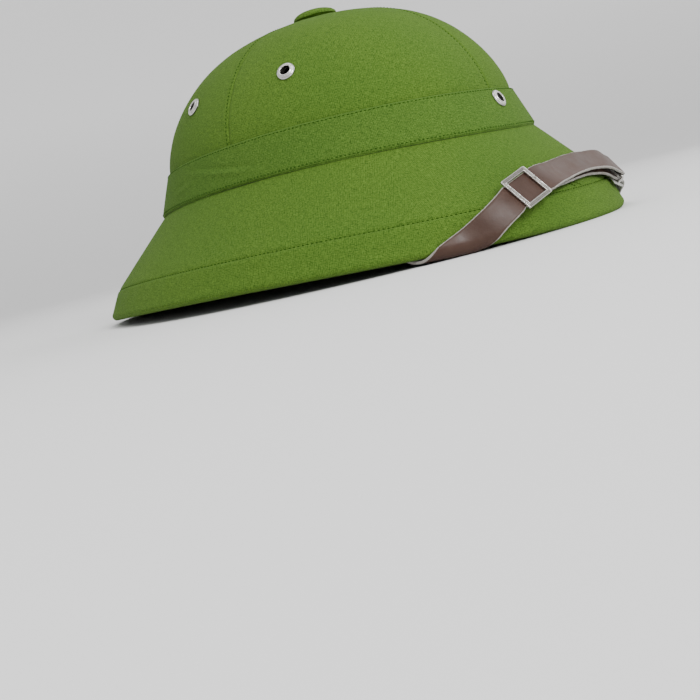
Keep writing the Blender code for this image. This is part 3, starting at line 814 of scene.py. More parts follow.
def band_lift(angle, up):
    # The band's outer face over the crown: folded edges, stitch rows, creases and its join
    height = band_height(angle)
    from_top = (1 - up) * height
    from_foot = up * height
    lift = BAND_LIFT
    for distance in (from_top, from_foot):
        lift -= BAND_EDGE_FALL * (1 - ease(distance / BAND_EDGE_ROUND)) ** 1.5
        lift -= BAND_STITCH_GROOVE * hump(distance - BAND_EDGE_STITCH, 0.00045)
    turn = math.degrees(angle)
    for place, share, length, slope, depth in BAND_CREASES:
        aside = degrees_apart(turn, place)
        if abs(aside) < length:
            line = share + slope * aside
            fade = math.cos(math.pi / 2 * aside / length) ** 2
            far = (up - line) * height
            lift += depth * fade * (hump(far, 0.0013) - 0.7 * hump(far - 0.0023, 0.0016))
    past = degrees_apart(turn, BAND_JOIN)
    if -7.0 < past < 0.4:
        lift += BAND_JOIN_LIFT * (1 - ease((-past - 4.5) / 2.5)) * (1 - ease(past / 0.4))
    point = crown_point(angle, up)
    return lift + unevenness(point, BAND_WAVES) * min(from_top, from_foot) / 0.012


def hat_band(material):
    shares = [0.0, 0.006, 0.016, 0.030, 0.045, 0.060, 0.085, 0.12]
    steps = shares + [0.12 + 0.76 * k / 24 for k in range(1, 24)]
    steps += [1 - share for share in reversed(shares)]
    steps.reverse()
    angles = full_round()
    outer = []
    inner = []
    for up in steps:
        outer.append([crown_layer(angle, up, -band_lift(angle, up)) for angle in angles])
        inner.append([crown_layer(angle, up, -BAND_BACK_LIFT) for angle in angles])
    girth = distances([crown_point(angle, 0.5) for angle in angles + [2 * math.pi]])
    tall = band_height(0.0)
    mesh = woven_grid("band_cloth", outer, inner, True,
                      lambda r, c, span: (girth[c], steps[r] * tall))
    smooth(mesh, 60.0)
    return add_piece("band_cloth", mesh, [material], "hat_band")


def band_stitches(name, top, material):
    spots = []
    for angle in full_round(720) + [0.0]:
        height = band_height(angle)
        up = BAND_EDGE_STITCH / height
        up = 1 - up if top else up
        normal = crown_normal(angle, min(up, 0.98))
        spots.append((crown_point(angle, up) + normal * (band_lift(angle, up) - 0.00004), normal))
    stitch_row(name, spots, material)


# Brim

HEM_STITCH_GROOVE = 0.00034
HEM_PUFF = 0.00022
HEM_PUCKER = 0.00009
HEM_PUCKERS = 66
BRIM_WAVES = ((0.00016, 0.034, 2.0), (0.00007, 0.010, 5.0))
BRIM_PARTS = 8


def brim_cloth_lift(angle, up):
    # up is the distance from the edge. The hem is sewn down along one row, and puckers beside it.
    slant = brim_slant(angle)
    stitch = (1 - HEM_ALONG) * slant
    aside = up - stitch
    point = brim_point(angle, max(1 - max(up, 0.0) / slant, 0.0))
    lift = unevenness(point, BRIM_WAVES) - HEM_STITCH_GROOVE * hump(aside, 0.0007)
    if aside < 0:
        puff = ease(-aside / 0.002) * (1 - ease((-aside - 0.004) / 0.011))
        turn = angle * HEM_PUCKERS + 2.2 * noise.noise(Vector((angle * 9, 0.0, 1.0)))
        lift += (HEM_PUFF + HEM_PUCKER * math.sin(turn)) * puff
    return lift


def brim_cloth(material):
    angles = full_round()
    spans = [0.998, 0.985] + [0.97 - 0.19 * k / 7 for k in range(7)]
    spans += [0.78 - 0.44 * k / 18 for k in range(18)] + [0.34 - 0.06 * k / 6 for k in range(6)]
    spans += [0.28 - 0.08 * k / 16 for k in range(16)] + [0.20 - 0.20 * k / 10 for k in range(10)]
    outer = []
    inner = []

    def add_rows(up_at, lift_at=None):
        ups = [up_at(angle) for angle in angles]
        outer.append([wrapped_point(a, up, lift_at(a, up) if lift_at else 0.0)
                      for a, up in zip(angles, ups)])
        inner.append([wrapped_point(a, up, -CLOTH_THICKNESS) for a, up in zip(angles, ups)])

    def hem_width(angle):
        return HEM_UNDER + 0.0005 * noise.noise(Vector((angle * 6, 3.0, 0.0)))

    for share in spans:
        add_rows(lambda angle: share * brim_slant(angle), brim_cloth_lift)
    for k in range(13):
        add_rows(lambda angle: -HALF_ROUND * k / 12 * 0.999)
    for share in (0.15, 0.4, 0.7, 0.9, 1.0):
        add_rows(lambda angle: -HALF_ROUND - share * hem_width(angle))
    for out_row, in_row in zip(outer, inner):
        for point, behind in zip(out_row, in_row):
            point.z = max(point.z, 0.0)
            behind.z = max(behind.z, 0.4 * CLOTH_THICKNESS)
    down = distances([row[0] for row in outer])
    paces = []
    for row in outer:
        girth = sum((b - a).length for a, b in zip(row, row[1:] + row[:1]))
        paces.append(girth / ROUND_STEPS)
    sector = ROUND_STEPS // BRIM_PARTS

    def place(row, column, span):
        # The cloth's threads run straight along the middle of each of its parts
        part = span // sector
        return (column - (part + 0.5) * sector) * paces[row] + part * 0.31, -down[row]

    mesh = woven_grid("brim_cloth", outer, inner, True, place)
    smooth(mesh)
    add_piece("brim_cloth", mesh, [material], "brim_cover")


# Two short slanted stitches where the hem's thread is fastened: angle and tilt in degrees
FASTENINGS = ((6.0, 38.0), (8.2, 34.0))
FASTENING_LENGTH = 0.0046


def fastening_stitches(material):
    for index, (degrees, tilt) in enumerate(FASTENINGS):
        angle = math.radians(degrees)
        middle = (1 - HEM_ALONG) * brim_slant(angle) + 0.0022
        wide = spread(angle, middle)
        spots = []
        for k in range(21):
            reach = FASTENING_LENGTH * (k / 20 - 0.5)
            place = middle + reach * math.sin(math.radians(tilt))
            turn = angle + reach * math.cos(math.radians(tilt)) / wide
            normal = brim_normal(turn, HEM_ALONG)
            lift = brim_cloth_lift(turn, place) + 0.00004
            spots.append((wrapped_point(turn, place, lift), normal))
        stitch_row("stitches_fastening_" + "ab"[index], spots, material,
                   FASTENING_PITCH)


def hem_stitches(material):
    spots = []
    for angle in full_round(900) + [0.0]:
        up = (1 - HEM_ALONG) * brim_slant(angle)
        lift = brim_cloth_lift(angle, up) - 0.00003
        spots.append((wrapped_point(angle, up, lift), brim_normal(angle, HEM_ALONG)))
    stitch_row("stitches_hem", spots, material, HEM_STITCH_PITCH)


# Moulded shell

def shell_piece(material):
    angles = full_round(180)
    outer = []
    inner = []
    top = dome_top()
    for rows, depth in ((outer, SHELL_DEPTH), (inner, SHELL_INSIDE)):
        rows.append([Vector((-STEM_HOLE * math.sin(angle), top.y - STEM_HOLE * math.cos(angle),
                             top.z - depth)) for angle in angles])
        for up in [2 - 0.99 * (k / 37) ** 0.9 for k in range(1, 37)] + [1.0, 0.75, 0.5, 0.25]:
            rows.append([crown_layer(angle, up, depth) for angle in angles])
        for k in range(1, 24):
            rows.append([brim_layer(angle, k / 24, depth) for angle in angles])
        last = []
        for angle in angles:
            centre, normal, down = edge_frame(angle)
            last.append(centre + normal * (EDGE_RADIUS - depth) - down * HEM_PRESS)
        rows.append(last)
    mesh = woven_grid("shell_inside", outer, inner, True,
                      lambda r, c, span: (c * 0.003, r * 0.003))
    smooth(mesh)
    return add_piece("shell_inside", mesh, [material], "shell")


# Button and eyelets

BUTTON_WAVES = ((0.00018, 0.008, 7.0),)
BUTTON_PLEATS = 22
WASHER_RADIUS = 0.0070
WASHER_THICKNESS = 0.0010
EYELET_LIP = 0.00045


def arc(start, end, bulge, steps):
    # Points from start to end on a bow that stands out by bulge
    (x0, y0), (x1, y1) = start, end
    length = math.hypot(x1 - x0, y1 - y0)
    nx, ny = (y1 - y0) / length, -(x1 - x0) / length
    points = []
    for k in range(1, steps + 1):
        t = k / steps
        out = 4 * bulge * t * (1 - t)
        points.append((x0 + (x1 - x0) * t + nx * out, y0 + (y1 - y0) * t + ny * out))
    return points


def top_button(cloth, dark):
    low = BUTTON_CLEARANCE
    high = low + BUTTON_THICKNESS
    r = BUTTON_RADIUS
    profile = [(0.0, high)]
    for k in range(1, 25):
        turn = math.pi / 2 * k / 24
        radius = r * math.sin(turn) ** 0.82
        profile.append((radius, low + BUTTON_THICKNESS * (0.16 + 0.84 * math.cos(turn) ** 0.85)))
    profile += arc(profile[-1], (r * 0.90, low), r * 0.02, 4)
    profile += [(BUTTON_STEM_RADIUS * 1.5, low + 0.0003), (BUTTON_STEM_RADIUS * 1.15, low - 0.0005)]
    profile += [(BUTTON_STEM_RADIUS, low - 0.0014), (BUTTON_STEM_RADIUS, -SHELL_INSIDE - 0.0004)]
    matrix = Matrix.Translation(dome_top())
    piece = turned("button_cloth", profile, matrix, False, [cloth], "top_button")
    seat = matrix.translation
    for vert in piece.data.vertices:
        radius = math.hypot(vert.co.x - seat.x, vert.co.y - seat.y)
        if vert.co.z > seat.z + low and radius > 0.3 * r:
            turn = math.atan2(vert.co.y - seat.y, vert.co.x - seat.x)
            pleat = ease((radius / r - 0.75) / 0.25) * 0.00010 * math.sin(turn * BUTTON_PLEATS)
            vert.co.z += unevenness(vert.co, BUTTON_WAVES) + pleat
    washer = -(SHELL_INSIDE + GAP)
    low = washer - WASHER_THICKNESS
    rim = WASHER_RADIUS
    profile = [(0.0, low), (rim * 0.93, low), (rim, washer - 0.0007), (rim, washer - 0.0001),
               (rim * 0.97, washer), (0.0, washer)]
    turned("button_washer", profile, matrix, False, [dark], None)


def eyelet(name, angle, up, metal):
    # A rolled lip round the hole, a domed flange, the barrel and the flange inside
    seat = GAP + (CLOTH_WALL + GAP if up < 1 else 0.0)
    inside = -(SHELL_INSIDE + EYELET_BACK_LIFT)
    top = seat + EYELET_DOME
    back = inside - EYELET_WALL
    profile = [(EYELET_BORE, back), (EYELET_BORE, top - 0.0010)]
    for k in range(9):
        turn = math.pi * (1 - 0.86 * k / 8)
        profile.append((EYELET_BORE + EYELET_LIP * (1 + math.cos(turn)),
                        top - EYELET_LIP * (1 - math.sin(turn))))
    start = profile[-1]
    profile.append((start[0] + 0.00012, start[1] - 0.00010))
    rim = (EYELET_RADIUS, seat + 0.00012)
    profile += arc(profile[-1], rim, -0.00026, 10)
    profile += [(EYELET_RADIUS - 0.00008, seat - 0.00012), (EYELET_RADIUS - 0.0005, seat - 0.0002),
                (EYELET_BARREL, seat - 0.0002), (EYELET_BARREL, inside),
                (EYELET_BACK_RADIUS, inside), (EYELET_BACK_RADIUS + 0.0001, inside - 0.0003),
                (EYELET_BACK_RADIUS - 0.0003, back)]
    place = facing(crown_point(angle, up), surface_normal(crown_point, angle, up, 0.02))
    turned("metal_" + name, profile, place, True, [metal], name)
    return place


# The strap's line

def line_point(angle):
    rows = STRAP_LINE
    k = 0
    while k < len(rows) - 2 and angle > rows[k + 1].angle:
        k += 1
    a, b = rows[k], rows[k + 1]
    before, after = rows[max(k - 1, 0)], rows[min(k + 2, len(rows) - 1)]
    span = b.angle - a.angle
    part = (angle - a.angle) / span
    slope_a = (b.up - before.up) / (b.angle - before.angle)
    slope_b = (after.up - a.up) / (after.angle - a.angle)
    p2 = part * part
    p3 = p2 * part
    return ((2 * p3 - 3 * p2 + 1) * a.up + (p3 - 2 * p2 + part) * span * slope_a
            + (3 * p2 - 2 * p3) * b.up + (p3 - p2) * span * slope_b)


def strap_spot(angle):
    turn = math.radians(angle)
    return turn, line_point(angle) * brim_slant(turn)


def spread(turn, up):
    step = 0.01
    a = wrapped_point(turn - step, up, 0.0)
    b = wrapped_point(turn + step, up, 0.0)
    return (b - a).length / (2 * step)


def strap_place(angle, across):
    # Angle and distance from the brim's edge of a point at a distance across from the strap's line
    turn, up = strap_spot(angle)
    turn_b, up_b = strap_spot(angle + 0.5)
    wide = spread(turn, up)
    run = Vector(((turn_b - turn) * wide, up_b - up)).normalized()
    side = Vector((-run.y, run.x))
    if side.y < 0:
        side = -side
    moved = side * across
    return turn + moved.x / wide, up + moved.y


def strap_point(angle, across, lift):
    return wrapped_point(*strap_place(angle, across), lift)


def slide_frame(side):
    angle = SLIDE_ANGLE[side]
    turn, up = strap_spot(angle)
    point = strap_point(angle, 0.0, 0.0)
    ahead = strap_point(angle + side, 0.0, 0.0)
    normal = surface_normal(brim_point, turn, 1 - up / brim_slant(turn), SLIDE_NORMAL_SHARE)
    return facing(point, normal, ahead - point)


# Heights over the brim of what is stacked at the two slides
BACK_END_RIGHT = STRAP_LIFT
KEEPER_RIGHT = BACK_END_RIGHT + STRAP_END_THICKNESS + GAP
LOWER_STRAP_RIGHT = KEEPER_RIGHT + KEEPER_THICKNESS + GAP
UPPER_STRAP_RIGHT = LOWER_STRAP_RIGHT + STRAP_THICKNESS + GAP
FRAME_RIGHT = UPPER_STRAP_RIGHT + STRAP_THICKNESS + GAP
FRAME_LEFT = STRAP_LIFT
LOWER_STRAP_LEFT = FRAME_LEFT + SLIDE_THICKNESS + GAP
BACK_END_LEFT = LOWER_STRAP_LEFT + STRAP_THICKNESS + GAP
KEEPER_LEFT = BACK_END_LEFT + STRAP_END_THICKNESS + GAP
UPPER_STRAP_LEFT = KEEPER_LEFT + KEEPER_THICKNESS + GAP

# A strap's height at its own slide, at the front, at the other slide's bar and folded back under it
STRAP_HEIGHTS = {
    1: (UPPER_STRAP_RIGHT, UPPER_STRAP_FRONT, UPPER_STRAP_LEFT, BACK_END_LEFT),
    -1: (LOWER_STRAP_LEFT, LOWER_STRAP_FRONT, LOWER_STRAP_RIGHT, BACK_END_RIGHT),
}

# Fineness of a strap, and the stretches over which it comes down from a slide to the brim
STRAP_FINE = 11
STRAP_STEP = 0.0009
SETTLING = 0.018
HANGING_SETTLING = 0.029
FLOOR_CLEARANCE = 0.0002
SLIDE_SPREAD = 0.05
STIFFNESS_PASSES = 30
STRAP_BEVEL = 0.030
STRAP_FRAY = 0.00022


def distance_table(side):
    # Distance along the strap's middle, outwards from one slide's centre, against the angle.
    # It runs from the other slide, at a distance below 0, to the strap's end.
    start = SLIDE_ANGLE[side]

    def walk(end):
        count = int(abs(end - start) / 0.25)
        angles = [start + (end - start) * k / count for k in range(count + 1)]
        return list(zip(distances([strap_point(angle, 0.0, 0.0) for angle in angles]), angles))

    out = walk(side * STRAP_LINE[-1].angle)
    back = walk(SLIDE_ANGLE[-side])
    return [(-far, angle) for far, angle in reversed(back[1:])] + out


def angle_at(table, distance):
    k = bisect_right(table, distance, key=lambda row: row[0]) - 1
    k = min(max(k, 0), len(table) - 2)
    (a, first), (b, second) = table[k], table[k + 1]
    return first + (second - first) * (distance - a) / (b - a)


def hanging_lift(up):
    # The strap's height as it goes round the brim's edge, over the hem and on along the shell
    skin = STRAP_SKIN_LIFT - (2 * EDGE_RADIUS - SHELL_INSIDE)
    hem_end = -HALF_ROUND - HEM_UNDER
    past = (hem_end - 0.10 * STRAP_WIDTH - up) / (0.45 * STRAP_WIDTH)
    under = ease((-HALF_ROUND - up) / HEM_UNDER)
    lift = STRAP_LIFT + (STRAP_UNDER_LIFT - STRAP_LIFT) * under
    return lift + (skin - lift) * ease(past)


def hanging_point(angle, across, lift):
    # A point of the strap where it goes round the brim's edge
    turn, up = strap_place(angle, across)
    point = wrapped_point(turn, up, hanging_lift(up) + lift)
    point.z = max(point.z, FLOOR_CLEARANCE)
    return point


def settled(frame_here, flat, draped, free):
    # From a slide's flat to the brim's round: sideways at once, in height over a longer stretch
    local = frame_here.inverted() @ draped
    sideways = ease((abs(flat.x) - 0.35 * SLIDE_LENGTH) / (0.40 * SLIDE_LENGTH))
    level = flat.z + (local.z - flat.z) * free
    spot = flat.lerp(local, sideways)
    return frame_here @ Vector((spot.x, spot.y, level))


def stiffened(stations, ups):
    # Leather bridges small bends: the stretch on top of the brim is evened along its run
    holds = [ease((up - 0.004) / 0.004) * ease((len(ups) - 3 - k) / 6) for k, up in enumerate(ups)]
    for _ in range(STIFFNESS_PASSES):
        evened = [stations[0]]
        for k in range(1, len(stations) - 1):
            rows = []
            for a, b, c in zip(stations[k - 1], stations[k], stations[k + 1]):
                rows.append([q.lerp((p + r) / 2, 0.5 * holds[k]) for p, q, r in zip(a, b, c)])
            evened.append(tuple(rows))
        stations = evened + [stations[-1]]
    return stations


def strap_stations(side, slide_lift, front_lift, keeper_lift, back_lift, columns):
    # Two rows of points, the grain side and the back, at every station from rivet to folded end
    table = distance_table(side)
    end = table[-1][0]
    between = -table[0][0]
    half = SLIDE_LENGTH / 2
    own = slide_frame(side)
    other = slide_frame(-side)
    stations = []

    def add(maker):
        stations.append(tuple([maker(across, face) for across in columns] for face in (1, 0)))

    # From the rivet round the brim's edge to its own slide
    count = int((end - half) / STRAP_STEP)
    for k in range(count + 1):
        far = end + (half - end) * k / count
        angle = angle_at(table, far)
        free = ease((far - half) / HANGING_SETTLING)

        def hanging(across, face):
            across *= 1 + SLIDE_SPREAD * (1 - free)
            flat = Vector((far, -side * across, slide_lift + face * STRAP_THICKNESS))
            draped = hanging_point(angle, across, face * STRAP_THICKNESS)
            return settled(own, flat, draped, free)

        add(hanging)
    over_brim = [strap_spot(angle_at(table, end + (half - end) * k / count))[1]
                 for k in range(count + 1)]
    stations = stiffened(stations, over_brim)
    # Through its own slide
    count = int(SLIDE_LENGTH / STRAP_STEP)
    for k in range(1, count):
        far = half - SLIDE_LENGTH * k / count
        add(lambda across, face: own @ Vector((far, -side * across * (1 + SLIDE_SPREAD),
                                               slide_lift + face * STRAP_THICKNESS)))
    # Over the front to the other slide
    count = int((between - 2 * half) / STRAP_STEP)
    for k in range(count + 1):
        share = k / count
        far = -half - (between - 2 * half) * share
        angle = angle_at(table, far)
        low, high, part = ((slide_lift, front_lift, 2 * share) if share < 0.5
                           else (front_lift, keeper_lift, 2 * share - 1))
        lift = low + (high - low) * ease(part)
        free = ease((-far - half) / SETTLING)
        free_too = ease((between - half + far) / SETTLING)

        def front(across, face):
            across *= 1 + SLIDE_SPREAD * (1 - free)
            raised = face * STRAP_THICKNESS
            draped = strap_point(angle, across, lift + raised)
            flat = Vector((far, -side * across, slide_lift + raised))
            flat_too = Vector((-between - far, side * across, keeper_lift + raised))
            if share < 0.5:
                return settled(own, flat, draped, free)
            return settled(other, flat_too, draped, free_too)

        add(front)
    # Over the other slide's bar, round it and back under itself
    start = KEEPER_BAR / 2 + GAP
    count = int((half + start) / STRAP_STEP)
    for k in range(1, count):
        far = -half + (half + start) * k / count
        add(lambda across, face: other @ Vector((far, side * across,
                                                 keeper_lift + face * STRAP_THICKNESS)))
    thin = STRAP_END_THICKNESS
    inner = (keeper_lift - back_lift - thin) / 2
    outer = (keeper_lift + STRAP_THICKNESS - back_lift) / 2
    for k in range(13):
        turn = math.pi * k / 12
        radius = {1: outer, 0: inner}
        foot = {1: back_lift + outer, 0: back_lift + thin + inner}
        add(lambda across, face: other @ Vector((start + radius[face] * math.sin(turn),
                                                 side * across,
                                                 foot[face] + radius[face] * math.cos(turn))))
    for k in range(1, 9):
        far = start + (-SLIDE_LENGTH / 4 - start) * k / 8
        add(lambda across, face: other @ Vector((far, side * across,
                                                 back_lift + (0.0 if face else thin))))
    return stations


def leather_strap(side, leather, suede):
    # Loops round the strap's section, its edges rounded and a little frayed, its back suede
    flat = 1 - 2 * STRAP_BEVEL
    columns = [-0.5] + [flat * (k / (STRAP_FINE - 1) - 0.5) for k in range(STRAP_FINE)] + [0.5]
    columns = [share * STRAP_WIDTH for share in columns]
    stations = strap_stations(side, *STRAP_HEIGHTS[side], columns)
    build = bmesh.new()
    cloth = build.loops.layers.uv.new("cloth")
    loops = []
    runs = distances([top[len(top) // 2] for top, _ in stations])
    for (top, low), far in zip(stations, runs):
        way = (top[-1] - top[0]).normalized()

        def frayed(point, part, edge):
            fray = noise.noise(Vector((far * 900, part * 3.1, edge * 5.0 + side)))
            fray += 0.6 * noise.noise(Vector((far * 2300, part * 7.1, edge * 9.0)))
            return point + way * edge * fray * STRAP_FRAY

        loop = top[1:-1]
        loop += [frayed(top[-1].lerp(low[-1], part), part, 1) for part in (0.16, 0.42, 0.66, 0.86)]
        loop += low[-2:0:-1]
        loop += [frayed(top[0].lerp(low[0], part), part, -1) for part in (0.86, 0.66, 0.42, 0.16)]
        loops.append([build.verts.new(point) for point in loop])
    count = len(loops[0])
    for r in range(len(loops) - 1):
        for k in range(count):
            n = (k + 1) % count
            face = build.faces.new((loops[r][k], loops[r][n], loops[r + 1][n], loops[r + 1][k]))
            face.material_index = 0 if k < STRAP_FINE - 1 else 1
            for corner, (row, column) in zip(face.loops, ((r, k), (r, k + 1), (r + 1, k + 1),
                                                          (r + 1, k))):
                corner[cloth].uv = (column * 0.0013, runs[row])
    for loop in (loops[0], loops[-1]):
        face = build.faces.new(loop)
        face.material_index = 1
    name = "leather_" + SIDE_NAME[side]
    mesh = mesh_from(build, name)
    smooth(mesh, 50.0)
    add_piece(name, mesh, [leather, suede], "strap_" + SIDE_NAME[side])


# Slides and rivets

def rounded_corners(half_x, half_y, radius, steps):
    points = []
    for corner in range(4):
        start = corner * math.pi / 2
        x = (half_x - radius) * (1 if corner in (0, 3) else -1)
        y = (half_y - radius) * (1 if corner in (0, 1) else -1)
        for k in range(steps + 1):
            turn = start + k * math.pi / 2 / steps
            points.append((x + radius * math.cos(turn), y + radius * math.sin(turn)))
    return points


# Section of a slide's bar: shares inwards and up, with a ridge along each edge and a groove between
SLIDE_SECTION = (
    (0.02, 0.04), (0.00, 0.30), (0.00, 0.70), (0.03, 0.90), (0.08, 0.99), (0.15, 1.00),
    (0.21, 0.92), (0.25, 0.74), (0.30, 0.66), (0.50, 0.63), (0.70, 0.66), (0.75, 0.74),
    (0.79, 0.92), (0.85, 1.00), (0.92, 0.99), (0.97, 0.90), (1.00, 0.70), (1.00, 0.30),
    (0.98, 0.04), (0.88, 0.00), (0.12, 0.00),
)
SLIDE_GROOVE = range(7, 11)
KEEPER_BEND = 0.0009
SLIDE_DENT = 0.00007


def sweep_bar(build, path, half_wide, half_thick):
    # A flat bar with rounded edges, swept along a path of points and normals across its width
    section = rounded_corners(half_wide, half_thick, half_thick * 0.85, 3)
    loops = []
    for point, normal in path:
        loops.append([build.verts.new(point + Vector((x, 0.0, 0.0)) + normal * y)
                      for x, y in section])
    for low, high in zip(loops, loops[1:]):
        bridge(build, low, high)
    build.faces.new(loops[0][::-1])
    build.faces.new(loops[-1])


def slide_rim(build, side):
    # The frame round the window, its ridged face up on the right and down on the left
    corner = 0.40 * SLIDE_BAR
    rows = []
    for inward, level in SLIDE_SECTION:
        inset = inward * SLIDE_BAR
        radius = max(corner - inset * 0.4, corner * 0.3)
        outline = rounded_corners(SLIDE_LENGTH / 2 - inset, SLIDE_WIDTH / 2 - inset, radius, 7)
        z = (level if side > 0 else 1 - level) * SLIDE_THICKNESS
        rows.append([build.verts.new(worn(Vector((x, y, z)), side)) for x, y in finer(outline)])
    for level, (low, high) in enumerate(zip(rows, rows[1:] + rows[:1])):
        for face in bridge(build, low, high):
            face.material_index = 1 if level in SLIDE_GROOVE else 0


def slide_bar(build, keeper):
    # The bar across the window, bent at both ends to reach the frame
    thick = KEEPER_THICKNESS / 2
    middle = keeper + thick
    bar = SLIDE_WIDTH / 2 - 0.5 * SLIDE_BAR
    frame_level = SLIDE_THICKNESS / 2
    way = 1 if middle > frame_level else -1
    half = [(bar, frame_level, 1.0, 0.0)]
    for k in range(7):
        c, s = math.cos(math.pi / 2 * k / 6), math.sin(math.pi / 2 * k / 6)
        half.append((bar - KEEPER_BEND * (1 - c), middle - way * KEEPER_BEND * (1 - s), c, way * s))
    path = [(Vector((0.0, -y, z)), Vector((0.0, -out, up))) for y, z, out, up in half]
    path += [(Vector((0.0, y, z)), Vector((0.0, out, up))) for y, z, out, up in reversed(half)]
    sweep_bar(build, path, KEEPER_BAR / 2, thick)


def slide_piece(side, metal, dull):
    height, keeper = (FRAME_RIGHT, KEEPER_RIGHT) if side > 0 else (FRAME_LEFT, KEEPER_LEFT)
    matrix = slide_frame(side) @ Matrix.Translation((0.0, 0.0, height))
    build = bmesh.new()
    slide_rim(build, side)
    slide_bar(build, keeper - height)
    bmesh.ops.transform(build, matrix=matrix, verts=build.verts)
    node = "slide_" + SIDE_NAME[side]
    mesh = mesh_from(build, "metal_" + node)
    smooth(mesh, 50.0)
    add_piece("metal_" + node, mesh, [metal, dull], node)


def finer(outline):
    # Points added along the four straight stretches of a closed outline
    points = []
    for a, b in zip(outline, outline[1:] + outline[:1]):
        count = 12 if math.hypot(b[0] - a[0], b[1] - a[1]) > 0.003 else 1
        for k in range(count):
            points.append((a[0] + (b[0] - a[0]) * k / count, a[1] + (b[1] - a[1]) * k / count))
    return points


def worn(point, side):
    # Small dents of a stamped bar
    dent = SLIDE_DENT * noise.noise(point / 0.0021 + Vector((side * 3.0, 0.0, 0.0)))
    return point + Vector((dent, -dent, dent * 0.6))


def rivet_frame(side):
    angle = side * STRAP_LINE[-1].angle
    turn, up = strap_spot(angle)
    turn -= side * 0.55 * STRAP_WIDTH / spread(turn, up)
    slant = brim_slant(turn)
    under = -line_point(math.degrees(turn)) * slant - HALF_ROUND
    along = 1 - under / slant
    normal = brim_normal(turn, along)
    return facing(brim_point(turn, along) - normal * SHELL_INSIDE, -normal)


def rivet(side, metal):
    seat = STRAP_SKIN_LIFT + STRAP_THICKNESS + 0.0001
    profile = [(0.0, seat + RIVET_THICKNESS)]
    for k in range(1, 15):
        turn = math.pi / 2 * k / 14
        profile.append((RIVET_RADIUS * math.sin(turn),
                        seat + RIVET_THICKNESS * (0.15 + 0.85 * math.cos(turn) ** 0.9)))
    profile += [(RIVET_RADIUS * 0.98, seat), (0.0015, seat), (0.0015, seat - 0.002),
                (0.0, seat - 0.002)]
    node = "rivet_" + SIDE_NAME[side]
    turned("metal_" + node, profile, rivet_frame(side), False, [metal], node)


# Everything together

def build_helmet():
    # Each cloth's third colour is the dark tone of its thin slubs and the painted shade in the gaps
    # between its threads
    crown_green = woven_cloth("crown_cloth", (0.104, 0.200, 0.028, 1.0), (0.130, 0.230, 0.032, 1.0),
                              (0.026, 0.066, 0.006, 1.0))
    band_green = woven_cloth("band_cloth", (0.097, 0.192, 0.029, 1.0), (0.121, 0.222, 0.034, 1.0),
                             (0.024, 0.062, 0.006, 1.0))
    thread = thread_material("sewing_thread", (0.012, 0.040, 0.002, 1.0))
    leather = leather_material()
    suede = suede_material()
    nickel = nickel_material("nickel", (0.66, 0.65, 0.62, 1.0), (0.26, 0.25, 0.23, 1.0), 0.16)
    bar_nickel = nickel_material("nickel_bar", (0.55, 0.54, 0.51, 1.0), (0.20, 0.19, 0.17, 1.0),
                                 0.18)
    dull_nickel = nickel_material("nickel_dull", (0.22, 0.21, 0.19, 1.0), (0.09, 0.08, 0.07, 1.0),
                                  0.34)
    dark = inside_material()

    shell = shell_piece(dark)
    panels = []
    for k, place in enumerate(("front_right", "back_right", "back_left", "front_left")):
        first = 2 * math.pi * k / SEAM_COUNT
        panels.append(crown_panel("cloth_" + place, first, crown_green))
        seam_stitches("stitches_seam_" + "abcd"[k], first, thread)
    band = hat_band(band_green)
    band_stitches("stitches_band_top", True, thread)
    band_stitches("stitches_band_foot", False, thread)
    brim_cloth(crown_green)
    hem_stitches(thread)
    fastening_stitches(thread)
    top_button(crown_green, dark)

    for name, degrees, up in EYELETS:
        place = eyelet(name, math.radians(degrees), up, nickel)
        each = 360 / SEAM_COUNT
        pierced = [shell] + ([band] if up < 1 else [])
        for k, panel in enumerate(panels):
            if abs(degrees_apart(degrees, (k + 0.5) * each)) < each / 2 + 5:
                pierced.append(panel)
        drill(pierced, place, EYELET_BARREL + 0.0001, 3 * SHELL_INSIDE)

    for side in SIDE_NAME:
        leather_strap(side, leather, suede)
    for side in SIDE_NAME:
        slide_piece(side, bar_nickel, dull_nickel)
    for side in SIDE_NAME:
        rivet(side, nickel)


# Floor, lights and camera

FLOOR_RADIUS = 1.5
WALL_RADIUS = 2.6
SKY_STRENGTH = 0.97
LAMP_AIM = (0.0, 0.0, 0.07)

# Name, place, size and power in watts
LAMPS = (
    ("key", (-0.45, -1.30, 0.90), 0.7, 22.5),
    ("fill", (0.95, -0.65, 0.75), 0.9, 4.0),
    ("top", (-0.3, -0.10, 1.35), 1.1, 6.0),
)


def floor_material():
    # Pale, and paler still where it rises into the wall: painted light, making up for the lamps
    # lighting the wall less than the floor
    material, tree, shader = new_material("pale_floor")
    height = tree.nodes.new("ShaderNodeSeparateXYZ")
    tree.links.new(object_place(tree), height.inputs[0])
    # Painted light: the wall is painted paler than the floor, where less lamp light reaches it
    raised = spread_value(tree, height.outputs[2], 0.0, 0.6)
    tone = mix_color(tree, raised, (0.74, 0.74, 0.74, 1.0), (0.97, 0.97, 0.97, 1.0))
    dress(tree, shader, {"Base Color": tone, "Roughness": 0.9, "Specular IOR Level": 0.1})
    return material


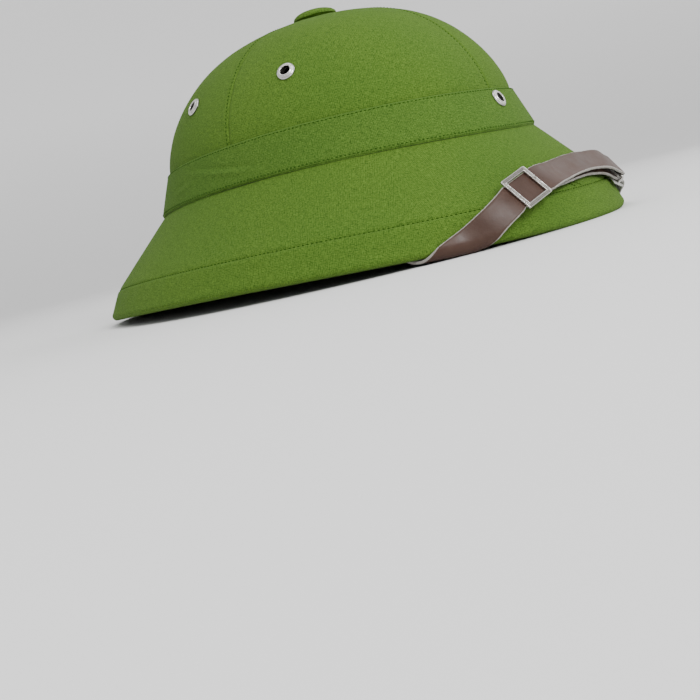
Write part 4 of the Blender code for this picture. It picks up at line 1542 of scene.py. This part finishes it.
def floor():
    # A round floor that bends up into a wall
    rows = [(max(FLOOR_RADIUS * k / 8, 0.001), 0.0) for k in range(9)]
    for k in range(1, 17):
        turn = math.pi / 2 * k / 16
        rows.append((FLOOR_RADIUS + WALL_RADIUS * math.sin(turn),
                     WALL_RADIUS * (1 - math.cos(turn))))
    build = bmesh.new()
    rings = []
    for reach, height in rows:
        rings.append([build.verts.new((reach * math.cos(turn), reach * math.sin(turn), height))
                      for turn in full_round(96)])
    for low, high in zip(rings, rings[1:]):
        bridge(build, low, high)
    build.faces.new(rings[0])
    mesh = bpy.data.meshes.new("floor")
    build.to_mesh(mesh)
    build.free()
    mesh.shade_smooth()
    mesh.materials.append(floor_material())
    placed("floor", mesh)


def lights():
    world = bpy.data.worlds.new("studio")
    world.use_nodes = True
    background = world.node_tree.nodes["Background"]
    background.inputs[0].default_value = (1.0, 1.0, 1.0, 1.0)
    background.inputs[1].default_value = SKY_STRENGTH
    bpy.context.scene.world = world

    for name, place, size, power in LAMPS:
        lamp = bpy.data.lights.new(name, "AREA")
        lamp.shape = "DISK"
        lamp.size = size
        lamp.energy = power
        made = placed(name, lamp)
        made.location = place
        aim = Vector(LAMP_AIM) - Vector(place)
        made.rotation_euler = aim.to_track_quat("-Z", "Y").to_euler()


# The photograph's view: compass and height angle of the camera, its roll, its place and its lens.
# It is raised about the helmet's middle, so that it stands clear of the floor.
VIEW_COMPASS = -51.71
VIEW_HEIGHT = 4.77
VIEW_ROLL = -13.95
VIEW_PLACE = (-0.45139, -0.33551, 0.00011)
VIEW_RAISE = 3.0
LENS_MM = 49.56
SENSOR_MM = 36.0
HELMET_MIDDLE = (0.0, 0.0, 0.06)


def photo_camera():
    compass, height, roll = (math.radians(v) for v in (VIEW_COMPASS, VIEW_HEIGHT, VIEW_ROLL))
    back = Vector((math.sin(compass) * math.cos(height), -math.cos(compass) * math.cos(height),
                   math.sin(height)))
    level = Vector((0.0, 0.0, 1.0)).cross(back).normalized()
    upright = back.cross(level)
    right = level * math.cos(roll) + upright * math.sin(roll)
    up = -level * math.sin(roll) + upright * math.cos(roll)
    matrix = Matrix((right, up, back)).transposed().to_4x4()
    matrix.translation = Vector(VIEW_PLACE)
    middle = Matrix.Translation(HELMET_MIDDLE)
    raised = middle @ Matrix.Rotation(-math.radians(VIEW_RAISE), 4, level) @ middle.inverted()
    data = bpy.data.cameras.new("camera")
    data.lens = LENS_MM
    data.sensor_width = SENSOR_MM
    data.clip_start = 0.01
    camera = placed("camera", data)
    camera.matrix_world = raised @ matrix
    bpy.context.scene.camera = camera


build_helmet()
floor()
lights()
photo_camera()
